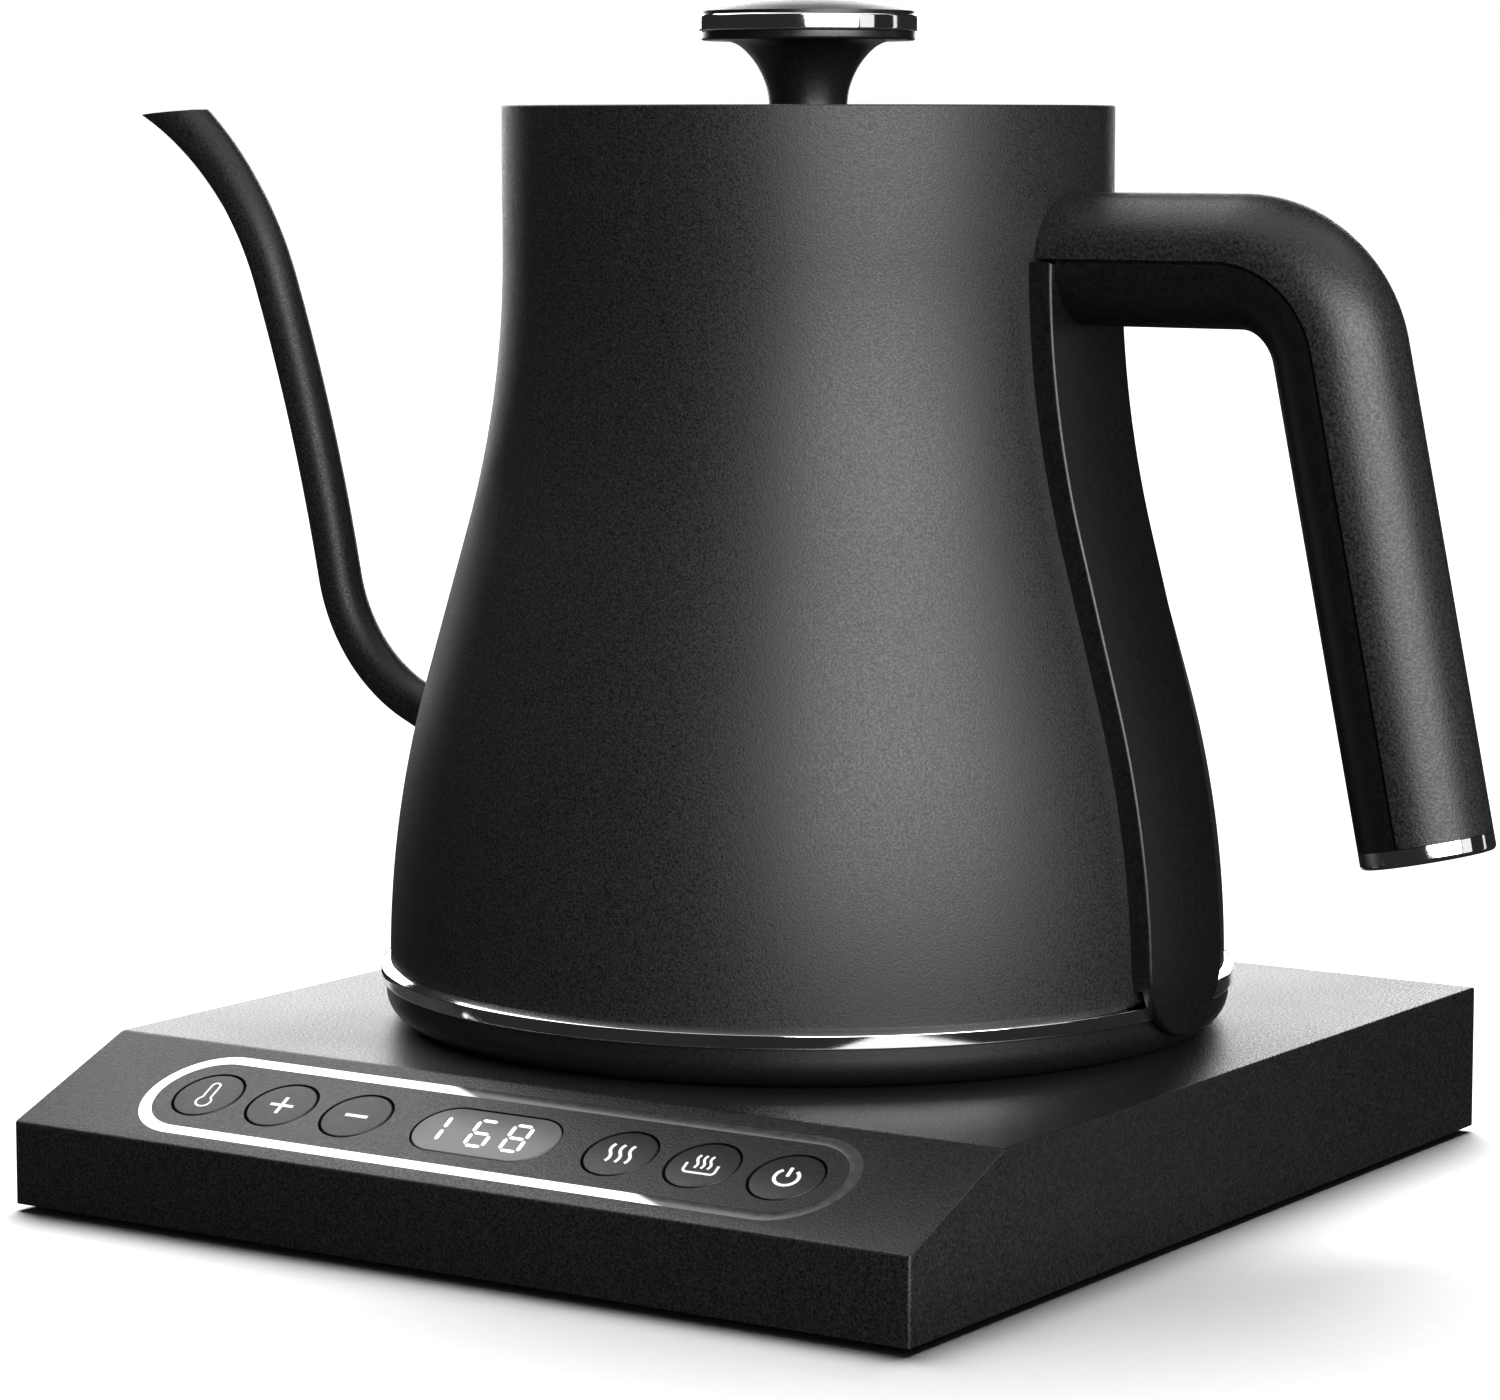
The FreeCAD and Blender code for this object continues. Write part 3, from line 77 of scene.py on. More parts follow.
def pick(kind, chosen):
    """In edit mode, select the vertices, edges or faces for which chosen is true."""
    bpy.ops.mesh.select_mode(type=kind)
    bpy.ops.mesh.select_all(action="DESELECT")
    mesh = bmesh.from_edit_mesh(bpy.context.object.data)
    for item in {"VERT": mesh.verts, "EDGE": mesh.edges, "FACE": mesh.faces}[kind]:
        if chosen(item):
            item.select_set(True)
    bmesh.update_edit_mesh(bpy.context.object.data)


def tidy_mesh(piece):
    """Merge what lies together and turn every face outwards."""
    take(piece)
    bpy.ops.object.mode_set(mode="EDIT")
    bpy.ops.mesh.select_all(action="SELECT")
    bpy.ops.mesh.remove_doubles(threshold=TINY * MM)
    bpy.ops.mesh.normals_make_consistent(inside=False)
    let_go()


def modify(piece, kind, **settings):
    """Give a piece a modifier with these settings and apply it."""
    take(piece)
    modifier = piece.modifiers.new(kind.title(), kind)
    for name, setting in settings.items():
        setattr(modifier, name, setting)
    bpy.ops.object.modifier_apply(modifier=modifier.name)


def cut(piece, tool, operation="DIFFERENCE"):
    """Take a tool's shape out of a piece, add it, or keep only what both fill."""
    modify(piece, "BOOLEAN", object=tool, operation=operation, solver="EXACT")
    bpy.data.objects.remove(tool)


def join(pieces):
    """Make several meshes one object, with the first one's name."""
    take(pieces[0])
    for piece in pieces:
        piece.select_set(True)
    bpy.ops.object.join()
    return pieces[0]


def rod(radius, low, high, at, steps=96):
    """An upright round tool from low to high at (x, y)."""
    let_go()
    bpy.ops.mesh.primitive_cylinder_add(
        vertices=steps,
        radius=radius * MM,
        depth=(high - low) * MM,
        location=(at[0] * MM, at[1] * MM, (low + high) / 2 * MM),
    )
    bpy.ops.object.transform_apply()
    return bpy.context.object


FLAT = Matrix.Identity(4)
ARC_SAG = 0.008
ARC_STEP = math.radians(9)


def draw(name, spots, plane=FLAT):
    """Draw a line of straight runs and arcs in a plane and stay in edit mode. A spot is (along, up),
    or (along, up, radius) where an arc arrives there, its radius positive where it turns left."""
    turned_plane = plane.to_3x3()
    let_go()
    start = plane @ (Vector((*spots[0][:2], 0)) * MM)
    bpy.ops.mesh.primitive_plane_add(size=MM, location=start)
    line = bpy.context.object
    line.name = name
    bpy.ops.object.transform_apply()
    bpy.ops.object.mode_set(mode="EDIT")
    bpy.ops.mesh.select_mode(type="VERT")
    bpy.ops.mesh.select_all(action="SELECT")
    bpy.ops.mesh.merge(type="CENTER")
    for here, there in zip(spots, spots[1:]):
        here, end = Vector(here[:2]), Vector(there[:2])
        chord = end - here
        if len(there) == 2:
            step = turned_plane @ (chord.to_3d() * MM)
            bpy.ops.mesh.extrude_region_move(TRANSFORM_OT_translate={"value": step})
            continue
        radius = abs(there[2])
        half = chord.length / 2
        rise = math.sqrt(max(radius * radius - half * half, 0))
        left = Vector((-chord.y, chord.x)).normalized()
        centre = (here + end) / 2 + left * math.copysign(rise, there[2])
        angle = 2 * math.asin(min(half / radius, 1))
        step = min(ARC_STEP, 2 * math.acos(1 - min(ARC_SAG / radius, 1)))
        bpy.ops.mesh.spin(
            steps=math.ceil(angle / step),
            angle=-math.copysign(angle, there[2]),
            center=plane @ (centre.to_3d() * MM),
            axis=turned_plane @ Vector((0, 0, 1)),
        )
    return line


def face(name, spots, plane=FLAT):
    """A filled outline, left in edit mode."""
    piece = draw(name, [*spots, spots[0][:2]] if len(spots[0]) == 2 else spots, plane)
    bpy.ops.mesh.select_all(action="SELECT")
    bpy.ops.mesh.remove_doubles(threshold=TINY * MM)
    bpy.ops.mesh.edge_face_add()
    return piece


def slab(name, spots, thick, plane=FLAT):
    """A filled outline made thick along its plane's normal."""
    piece = face(name, spots, plane)
    way = plane.to_3x3() @ Vector((0, 0, thick * MM))
    bpy.ops.mesh.extrude_region_move(TRANSFORM_OT_translate={"value": way})
    tidy_mesh(piece)
    return piece


def stadium(width, tall):
    """The outline of a slot with two full-round ends."""
    radius = tall / 2
    side = width / 2 - radius
    return [(side, -radius), (side, radius, radius), (-side, radius), (-side, -radius, radius)]


def grained(name, size, dark, light, rough, spread, relief, metallic=0.0, stretch=(1, 1, 1)):
    """A finish with a grain of some size in mm: its colour, gloss and relief follow the grain, and a
    slow cloud over a few centimetres moves the gloss a little more."""
    material = bpy.data.materials.new(name)
    material.use_nodes = True
    nodes, links = material.node_tree.nodes, material.node_tree.links
    shader = nodes["Principled BSDF"]
    shader.inputs["Metallic"].default_value = metallic
    shader.inputs["IOR"].default_value = 1.55
    place = nodes.new("ShaderNodeTexCoord")
    mapping = nodes.new("ShaderNodeMapping")
    mapping.inputs["Scale"].default_value = stretch
    links.new(place.outputs["Object"], mapping.inputs["Vector"])
    noise = nodes.new("ShaderNodeTexNoise")
    noise.inputs["Scale"].default_value = 1 / (size * MM)
    noise.inputs["Detail"].default_value = 3
    noise.inputs["Roughness"].default_value = 0.55
    links.new(mapping.outputs["Vector"], noise.inputs["Vector"])
    ramp = nodes.new("ShaderNodeValToRGB")
    ramp.color_ramp.elements[0].position = 0.32
    ramp.color_ramp.elements[0].color = (*dark, 1)
    ramp.color_ramp.elements[1].position = 0.68
    ramp.color_ramp.elements[1].color = (*light, 1)
    links.new(noise.outputs["Fac"], ramp.inputs["Fac"])
    links.new(ramp.outputs["Color"], shader.inputs["Base Color"])
    cloud = nodes.new("ShaderNodeTexNoise")
    cloud.inputs["Scale"].default_value = 1 / (35 * MM)
    cloud.inputs["Detail"].default_value = 2
    links.new(place.outputs["Object"], cloud.inputs["Vector"])
    blend = nodes.new("ShaderNodeMath")
    blend.operation = "MULTIPLY_ADD"
    blend.inputs[1].default_value = 0.12
    links.new(cloud.outputs["Fac"], blend.inputs[0])
    links.new(noise.outputs["Fac"], blend.inputs[2])
    gloss = nodes.new("ShaderNodeMapRange")
    gloss.inputs["From Min"].default_value = 0.36
    gloss.inputs["From Max"].default_value = 0.76
    gloss.inputs["To Min"].default_value = rough - spread
    gloss.inputs["To Max"].default_value = rough + spread
    links.new(blend.outputs["Value"], gloss.inputs["Value"])
    links.new(gloss.outputs["Result"], shader.inputs["Roughness"])
    bump = nodes.new("ShaderNodeBump")
    bump.inputs["Strength"].default_value = relief
    bump.inputs["Distance"].default_value = size * MM * 0.15
    links.new(noise.outputs["Fac"], bump.inputs["Height"])
    links.new(bump.outputs["Normal"], shader.inputs["Normal"])
    return material


def complete(piece, body, slot, finish, *nodes, smooth=35):
    """Smooth a piece, give it its finish and set it on its body in place of its CAD nodes."""
    tidy_mesh(piece)
    take(piece)
    bpy.ops.object.shade_smooth_by_angle(angle=math.radians(smooth))
    piece.data.materials.clear()
    piece.data.materials.append(finish)
    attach(piece, body)
    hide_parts(*nodes)
    return piece


def dress(node, finish):
    """Give a CAD node that is kept its finish."""
    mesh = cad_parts[node].data
    mesh.materials.clear()
    mesh.materials.append(finish)


SLOPE_FOOT = 15.5
SLOPE_RUN = 28.2
COVER_WALL = 2.2
COVER_EDGE = 0.5
BUTTON_HOLE = 6.6
BUTTON_PLACES = {
    "temperature": -58.6,
    "plus": -42.7,
    "minus": -26.8,
    "keep_warm": 26.8,
    "boil": 42.7,
    "power": 58.6,
}
WINDOW = (28.0, 12.6)
BAND = (142.0, 24.0)
BAND_STROKE = 2.3
BAND_DEEP = 1.2

ring_low, ring_high = span("trim_ring")
AXIS_X, AXIS_Y = ((ring_low + ring_high) / 2)[:2]
AXIS = Matrix.Translation((AXIS_X * MM, AXIS_Y * MM, 0))
cover_low, cover_high = span("base_cover")
panel_angle = math.atan((cover_high.z - SLOPE_FOOT) / SLOPE_RUN)
panel_middle = Vector((
    (cover_low.x + cover_high.x) / 2,
    cover_low.y + SLOPE_RUN / 2,
    (SLOPE_FOOT + cover_high.z) / 2,
))
PANEL = Matrix.Translation(panel_middle * MM) @ Matrix.Rotation(panel_angle, 4, "X")


def on_panel(piece, along=0, up=0, out=0):
    """Move a piece that is drawn flat about the origin to its place on the sloping panel."""
    let_go()
    piece.data.transform(PANEL @ Matrix.Translation(Vector((along, up, out)) * MM))
    return piece


def band_ring(name, low, high):
    """The slim ring, round all the controls, between two heights."""
    ring = face(name, stadium(*BAND))
    bpy.ops.transform.translate(value=(0, 0, low * MM))
    bpy.ops.mesh.inset(thickness=BAND_STROKE * MM)
    bpy.ops.mesh.delete(type="FACE")
    bpy.ops.mesh.select_all(action="SELECT")
    bpy.ops.mesh.extrude_region_move(
        TRANSFORM_OT_translate={"value": (0, 0, (high - low) * MM)}
    )
    tidy_mesh(ring)
    return ring


let_go()
bpy.ops.mesh.primitive_cube_add(
    size=1, location=(cover_low + cover_high) / 2 * MM, scale=(cover_high - cover_low) * MM
)
cover = bpy.context.object
cover.name = "base_cover_moulding"
bpy.ops.object.transform_apply()
bpy.ops.object.mode_set(mode="EDIT")
bpy.ops.mesh.select_all(action="SELECT")
bpy.ops.mesh.bisect(plane_co=(0, 0, SLOPE_FOOT * MM), plane_no=(0, 0, 1))
front, top = (cover_low.y + TINY) * MM, (cover_high.z - TINY) * MM
pick("VERT", lambda vert: vert.co.y < front and vert.co.z > top)
bpy.ops.transform.translate(value=(0, SLOPE_RUN * MM, 0))
pick("FACE", lambda side: side.normal.z < -0.9)
bpy.ops.mesh.delete(type="FACE")
modify(cover, "SOLIDIFY", thickness=COVER_WALL * MM, offset=-1, use_even_offset=True)
bpy.ops.object.mode_set(mode="EDIT")
half_width = (cover_high.x - cover_low.x) / 2 - TINY


def outer_edge(edge):
    outside = all(abs(v.co.x / MM - panel_middle.x) > half_width for v in edge.verts)
    above = max(v.co.z for v in edge.verts) / MM > cover_low.z + TINY
    return outside and above and edge.calc_face_angle(0) > 0.2


pick("EDGE", outer_edge)
bpy.ops.mesh.bevel(offset=COVER_EDGE * MM, segments=4, affect="EDGES")
let_go()
for along in BUTTON_PLACES.values():
    cut(cover, on_panel(rod(BUTTON_HOLE, -6, 4, (along, 0))))
cut(cover, on_panel(slab("tool", stadium(WINDOW[0] + 0.6, WINDOW[1] + 0.6), 10), out=-6))
cut(cover, on_panel(band_ring("tool", -BAND_DEEP, 2)))
cut(cover, rod(15.1, 20, 30, (AXIS_X, AXIS_Y), steps=160))
gland_low, gland_high = span("cord_gland")
GLAND_RADIUS = 6.0
gland_z = (gland_low.z + gland_high.z) / 2
gland_hole = rod(GLAND_RADIUS, -6, 6, (0, 0))
turned_back = Matrix.Rotation(math.pi / 2, 4, "X")
gland_spot = Matrix.Translation(Vector((AXIS_X, cover_high.y, gland_z)) * MM)
gland_hole.data.transform(gland_spot @ turned_back)
cut(cover, gland_hole)
for x in (-80, 80):
    for y in (-74, 56):
        post = rod(4, cover_low.z + 2.4, cover_high.z - 1, (AXIS_X + x, AXIS_Y + y), steps=48)
        cut(cover, post, "UNION")
base_plastic = grained(
    "grained_black_abs", 0.45, (0.002,) * 3, (0.010,) * 3, 0.42, 0.13, 1.0
)
complete(cover, "base", "base_plastic", base_plastic, "base_cover", smooth=30)


# The light guide: a slim ring of milky acrylic pressed into its groove round all the controls. Lamps
# on the key board light its left-hand end, and the light dies away towards the right.

guide = on_panel(band_ring("light_guide_ring", -BAND_DEEP, 0))
modify(guide, "BEVEL", width=0.08 * MM, segments=2, limit_method="ANGLE")
light_guide = grained(
    "milky_acrylic", 1.5, (0.035,) * 3, (0.055,) * 3, 0.32, 0.05, 0.1
)
LIT_SLANT = 2.33
LIT_EDGE = 12.3
nodes, links = light_guide.node_tree.nodes, light_guide.node_tree.links
shader = nodes["Principled BSDF"]
panel_place = nodes.new("ShaderNodeMapping")
panel_place.vector_type = "POINT"
back_to_panel = PANEL.inverted()
panel_place.inputs["Location"].default_value = back_to_panel.to_translation()
panel_place.inputs["Rotation"].default_value = back_to_panel.to_euler()
links.new(nodes["Texture Coordinate"].outputs["Object"], panel_place.inputs["Vector"])
split = nodes.new("ShaderNodeSeparateXYZ")
links.new(panel_place.outputs["Vector"], split.inputs["Vector"])
slant = nodes.new("ShaderNodeMath")
slant.operation = "MULTIPLY_ADD"
slant.inputs[1].default_value = LIT_SLANT
links.new(split.outputs["Y"], slant.inputs[0])
links.new(split.outputs["X"], slant.inputs[2])
fade = nodes.new("ShaderNodeMapRange")
fade.interpolation_type = "SMOOTHSTEP"
fade.inputs["From Min"].default_value = (LIT_EDGE + 3) * MM
fade.inputs["From Max"].default_value = (LIT_EDGE - 1) * MM
fade.inputs["To Min"].default_value = 0.0
fade.inputs["To Max"].default_value = 1.6
links.new(slant.outputs["Value"], fade.inputs["Value"])
shader.inputs["Emission Color"].default_value = (1, 1, 1, 1)
links.new(fade.outputs["Result"], shader.inputs["Emission Strength"])
complete(guide, "base", "light_guide", light_guide, "control_ring")


# The display window: a slot-shaped smoked acrylic lens, snapped in from behind by its flange, over
# a three-digit module whose white segments show through it.

window_low, window_high = span("display_window")
lens = slab("display_lens", stadium(*WINDOW), COVER_WALL)
modify(lens, "BEVEL", width=0.25 * MM, segments=3, limit_method="ANGLE")
flange = slab("tool", stadium(WINDOW[0] + 3, WINDOW[1] + 3), 0.8)
flange.data.transform(Matrix.Translation((0, 0, -0.8 * MM)))
cut(lens, flange, "UNION")
on_panel(lens, out=-COVER_WALL)
display_glass = grained("smoked_acrylic", 6.0, (0.090,) * 3, (0.110,) * 3, 0.34, 0.03, 0.02)
complete(lens, "base", "display_glass", display_glass, "display_window")

DIGIT_WIDE = 3.6
DIGIT_TALL = 7.2
SEGMENT_HALF = 0.38
SEGMENT_GAP = 0.3
LEAN = -0.16
INK = 0.05
SEGMENTS = {
    "top": ((-1, 1), (1, 1)),
    "middle": ((-1, 0), (1, 0)),
    "bottom": ((-1, -1), (1, -1)),
    "upper_left": ((-1, 0), (-1, 1)),
    "upper_right": ((1, 0), (1, 1)),
    "lower_left": ((-1, -1), (-1, 0)),
    "lower_right": ((1, -1), (1, 0)),
}
DIGITS = {
    -10.4: ("upper_right", "lower_right"),
    -0.9: ("top", "middle", "bottom", "upper_left", "lower_left", "lower_right"),
    6.2: tuple(SEGMENTS),
}


def leaning(spots):
    """The same spots, with the legends' lean."""
    return [(x + LEAN * y, y) for x, y in spots]


def segment(name, start, stop, middle):
    """One bar of a digit, pointed at both ends."""
    start = Vector((start[0] * DIGIT_WIDE / 2, start[1] * DIGIT_TALL / 2))
    stop = Vector((stop[0] * DIGIT_WIDE / 2, stop[1] * DIGIT_TALL / 2))
    way = (stop - start).normalized()
    side = Vector((-way.y, way.x)) * SEGMENT_HALF
    start, stop = start + way * SEGMENT_GAP, stop - way * SEGMENT_GAP
    nose = way * SEGMENT_HALF
    spots = [start, start + nose - side, stop - nose - side, stop, stop - nose + side,
             start + nose + side]
    bar = slab(name, leaning([(spot.x, spot.y) for spot in spots]), INK)
    return on_panel(bar, along=middle)


lit_white = grained("lit_segments", 0.8, (0.75,) * 3, (0.85,) * 3, 0.4, 0.05, 0.02)
lit_white.node_tree.nodes["Principled BSDF"].inputs["Emission Color"].default_value = (1, 1, 1, 1)
lit_white.node_tree.nodes["Principled BSDF"].inputs["Emission Strength"].default_value = 0.55
bars = [
    segment(f"bar_{name}", *SEGMENTS[name], middle)
    for middle, names in DIGITS.items()
    for name in names
]
digits = join(bars)
digits.name = "display_digits"
take(digits)
digits.data.materials.append(lit_white)
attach(digits, "base")

display_block = grained("module_black", 0.9, (0.02,) * 3, (0.03,) * 3, 0.5, 0.05, 0.2)
dress("display_module", display_block)


# The six push buttons: black ABS keys with a soft grain like the panel's, each flush in its hole
# and held in behind by its foot. Their legends are printed in white, and the ink has a painted glow
# that makes it brighter than the lamps alone light it.

BUTTON_RADIUS = 6.2
BUTTON_EDGE = 0.3
BUTTON_FOOT = 7.4
button_plastic = grained("key_abs", 0.5, (0.004,) * 3, (0.011,) * 3, 0.44, 0.06, 0.45)
glowing_legend_ink = grained("legend_ink_painted_glow", 0.6, (0.62,) * 3, (0.74,) * 3, 0.5, 0.05, 0.05)
# The legend ink gets a painted glow: a weak white emission that brightens the printed marks beyond the
# lamps' light.
legend_shader = glowing_legend_ink.node_tree.nodes["Principled BSDF"]
legend_shader.inputs["Emission Color"].default_value = (1, 1, 1, 1)
legend_shader.inputs["Emission Strength"].default_value = 0.22


def stroke(spots, width):
    """A printed line of some width along spots, straight or with arcs."""
    line = draw("legend_line", spots)
    bpy.ops.mesh.select_all(action="SELECT")
    bpy.ops.mesh.remove_doubles(threshold=TINY * MM)
    bpy.ops.mesh.extrude_region_move(TRANSFORM_OT_translate={"value": (0, 0, INK * MM)})
    modify(line, "SOLIDIFY", thickness=width * MM, offset=0, use_even_offset=True)
    tidy_mesh(line)
    return line


def wave(x, low, high):
    """A rising wavy line of two opposite arcs."""
    middle = (low + high) / 2
    bow = (high - low) * 0.42
    return [(x, low), (x, middle, bow), (x, high, -bow)]


LEGENDS = {
    "temperature": [([
        (0.85, -0.75), (0.85, 2.7), (-0.85, 2.7, 0.85), (-0.85, -0.75), (0, -3.4, 1.45),
        (0.85, -0.75, 1.45),
    ], 0.42)],
    "plus": [([(-2.4, 0), (2.4, 0)], 0.75), ([(0, -2.4), (0, 2.4)], 0.75)],
    "minus": [([(-2.3, 0), (2.3, 0)], 0.8)],
    "keep_warm": [(wave(x, -2.4, 2.4), 0.62) for x in (-1.9, 0, 1.9)],
    "boil": [
        *((wave(x, -0.9, 2.6), 0.5) for x in (-1.25, 0, 1.25)),
        ([(-3.0, 0.3), (-3.0, -1.4), (-2.2, -2.2, 0.8), (2.2, -2.2), (3.0, -1.4, 0.8), (3.0, 0.3)],
         0.5),
    ],
    "power": [
        ([(-1.3, 1.75), (-2.18, 0, 2.18), (0, -2.18, 2.18), (2.18, 0, 2.18), (1.3, 1.75, 2.18)],
         0.66),
        ([(0, 0.2), (0, 2.7)], 0.66),
    ],
}

for key, along in BUTTON_PLACES.items():
    low, high = span(f"button_{key}")
    deep = COVER_WALL + 0.3 + 1.0
    cap = rod(BUTTON_RADIUS, -deep, 0, (0, 0), steps=128)
    cap.name = f"key_{key}"
    bpy.ops.object.mode_set(mode="EDIT")
    pick("EDGE", lambda edge: edge.calc_face_angle(0) > 1 and edge.verts[0].co.z > -TINY * MM)
    bpy.ops.mesh.bevel(offset=BUTTON_EDGE * MM, segments=4, affect="EDGES")
    cut(cap, rod(BUTTON_FOOT, -deep, 1 - deep, (0, 0), steps=128), "UNION")
    on_panel(cap, along=along)
    complete(cap, f"button_{key}", "button_plastic", button_plastic, f"button_{key}")
    legend = join([stroke(spots, width) for spots, width in LEGENDS[key]])
    legend.name = f"legend_{key}"
    lean = Matrix.Identity(4)
    lean[0][1] = LEAN
    legend.data.transform(lean)
    on_panel(legend, along=along, out=-INK / 2)
    take(legend)
    legend.data.materials.append(glowing_legend_ink)
    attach(legend, f"button_{key}")


# The key board: a glass-epoxy board with six tactile switches, screwed to bosses behind the panel.

circuit_board = grained("solder_mask", 0.9, (0.008, 0.045, 0.02), (0.014, 0.075, 0.034), 0.35, 0.06, 0.15)
switch_parts = grained("switch_black", 0.5, (0.02,) * 3, (0.05,) * 3, 0.45, 0.08, 0.2)
screw_steel = grained(
    "zinc_plated_steel", 0.3, (0.42, 0.43, 0.45), (0.58, 0.59, 0.60), 0.32, 0.08, 0.1, metallic=1.0
)
dress("panel_board", circuit_board)
dress("key_switches", switch_parts)
dress("board_screws", screw_steel)


# The power board on its metal standoffs, with the relay, the transformer and the sounder.

transformer_core = grained("laminated_core", 0.4, (0.10, 0.09, 0.08), (0.2, 0.18, 0.16), 0.5, 0.1, 0.4,
                           metallic=0.6, stretch=(0.2, 0.2, 4))
relay_case = grained("relay_case", 0.7, (0.012, 0.03, 0.09), (0.02, 0.045, 0.12), 0.4, 0.05, 0.1)
dress("power_board", circuit_board)
dress("board_standoffs", screw_steel)
dress("relay", relay_case)
dress("transformer", transformer_core)
dress("buzzer", switch_parts)


# The cord gland: a rubber bush in the rear wall, with a flange inside, that the mains lead enters by.

GLAND_BORE = 3.6
GLAND_LENGTH = 8.2
rubber = grained("black_rubber", 0.8, (0.016,) * 3, (0.028,) * 3, 0.72, 0.06, 0.3)


def turned(name, spots, about=AXIS, steps=192):
    """A piece turned about an upright or tilted axis from its (radius, height) outline."""
    side = about @ Matrix.Rotation(math.pi / 2, 4, "X")
    piece = draw(name, [*spots, spots[0][:2]] if len(spots[0]) == 2 else spots, side)
    bpy.ops.mesh.select_all(action="SELECT")
    bpy.ops.mesh.remove_doubles(threshold=TINY * MM)
    bpy.ops.mesh.select_all(action="SELECT")
    bpy.ops.mesh.spin(
        steps=steps,
        angle=2 * math.pi,
        center=about.to_translation(),
        axis=about.to_3x3() @ Vector((0, 0, 1)),
    )
    tidy_mesh(piece)
    return piece


gland_axis = gland_spot @ turned_back
bush = turned("cord_bush", [
    (GLAND_BORE, 0),
    (GLAND_RADIUS - 0.6, 0),
    (GLAND_RADIUS, 0.6, 0.6),
    (GLAND_RADIUS, COVER_WALL),
    (GLAND_RADIUS + 1.8, COVER_WALL),
    (GLAND_RADIUS + 1.8, COVER_WALL + 1.8),
    (GLAND_RADIUS, COVER_WALL + 1.8),
    (GLAND_RADIUS, GLAND_LENGTH),
    (GLAND_BORE, GLAND_LENGTH),
], about=gland_axis, steps=96)
complete(bush, "base", "rubber", rubber, "cord_gland")


# The base's half of the coupling: a black nylon boss with a middle hole and two ring slots, whose
# brass contact rings lie deep inside the slots.

base_top = cover_high.z
boss_low, boss_high = span("base_connector")
boss_top = boss_high.z
BOSS_RADIUS = 15.0
inner_plastic = grained("black_nylon", 0.6, (0.012,) * 3, (0.022,) * 3, 0.42, 0.06, 0.25)
contact_brass = grained(
    "contact_brass", 0.5, (0.62, 0.44, 0.18), (0.78, 0.57, 0.26), 0.24, 0.08, 0.1, metallic=1.0
)
roof = base_top - COVER_WALL
boss = turned("coupling_boss", [
    (3, boss_low.z),
    (BOSS_RADIUS + 3, boss_low.z),
    (BOSS_RADIUS + 3, roof - 2.5),
    (26, roof - 2.5),
    (26, roof),
    (BOSS_RADIUS, roof),
    (BOSS_RADIUS, boss_top - 1),
    (BOSS_RADIUS - 1, boss_top, 1),
    (13, boss_top),
    (13, boss_top - 6),
    (10, boss_top - 6),
    (10, boss_top),
    (8.5, boss_top),
    (8.5, boss_top - 6),
    (5.5, boss_top - 6),
    (5.5, boss_top),
    (3, boss_top),
])
complete(boss, "base", "inner_plastic", inner_plastic, "base_connector")
rings = join([
    turned(f"contact_ring_{inner}", [
        (inner, boss_top - 6), (inner + 0.75, boss_top - 6), (inner + 0.75, boss_top - 2),
        (inner, boss_top - 2),
    ])
    for inner in (5.55, 10.05)
])
rings.name = "contact_rings"
complete(rings, "base", "contact_brass", contact_brass, "base_contacts")


# The bottom plate closes the base: a flat black moulding held by four screws, on four rubber feet.

dress("base_plate", base_plastic)
dress("base_screws", screw_steel)
feet = []
for x in (-76, 76):
    for y in (-96, 74):
        foot = rod(7, 0, 2, (AXIS_X + x, AXIS_Y + y), steps=96)
        bpy.ops.object.mode_set(mode="EDIT")
        pick("EDGE", lambda edge: edge.calc_face_angle(0) > 1 and edge.verts[0].co.z < TINY * MM)
        bpy.ops.mesh.bevel(offset=0.4 * MM, segments=4, affect="EDGES")
        feet.append(foot)
feet = join(feet)
feet.name = "rubber_feet"
complete(feet, "base", "rubber", rubber, "base_feet")


# The vessel: spun from 0.8 mm stainless sheet, with a straight neck, a hollow shoulder and a full
# belly. Outside it has a fine black powder coat; inside the steel is bare and brushed.

shell_low, shell_high = span("body_shell")
RIM_TOP = shell_high.z
SHELL_WALL = 0.8
NECK_RADIUS = 53.8
NECK_LOW = 162.0
NECK_ARC = 180.0
FLARE = math.radians(15.3)
BELLY_ARC = 187.0
BELLY_RADIUS = (shell_high.x - shell_low.x) / 2
RIM_EDGE = 0.35
slant_run = (BELLY_RADIUS - NECK_RADIUS) - (NECK_ARC + BELLY_ARC) * (1 - math.cos(FLARE))
slant_run /= math.tan(FLARE)
BELLY_Z = NECK_LOW - (NECK_ARC + BELLY_ARC) * math.sin(FLARE) - slant_run


def side_curve(out, upward=False):
    """The vessel's side, moved out by some amount: neck, hollow, slant and belly."""
    hollow, full = NECK_ARC - out, BELLY_ARC + out
    neck = (NECK_RADIUS + out, NECK_LOW)
    upper = (
        NECK_RADIUS + NECK_ARC - hollow * math.cos(FLARE),
        NECK_LOW - hollow * math.sin(FLARE),
    )
    lower = (
        BELLY_RADIUS - BELLY_ARC + full * math.cos(FLARE),
        BELLY_Z + full * math.sin(FLARE),
    )
    belly = (BELLY_RADIUS + out, BELLY_Z)
    if upward:
        return [belly, (*lower, full), upper, (*neck, -hollow)]
    return [neck, (*upper, hollow), lower, (*belly, -full)]


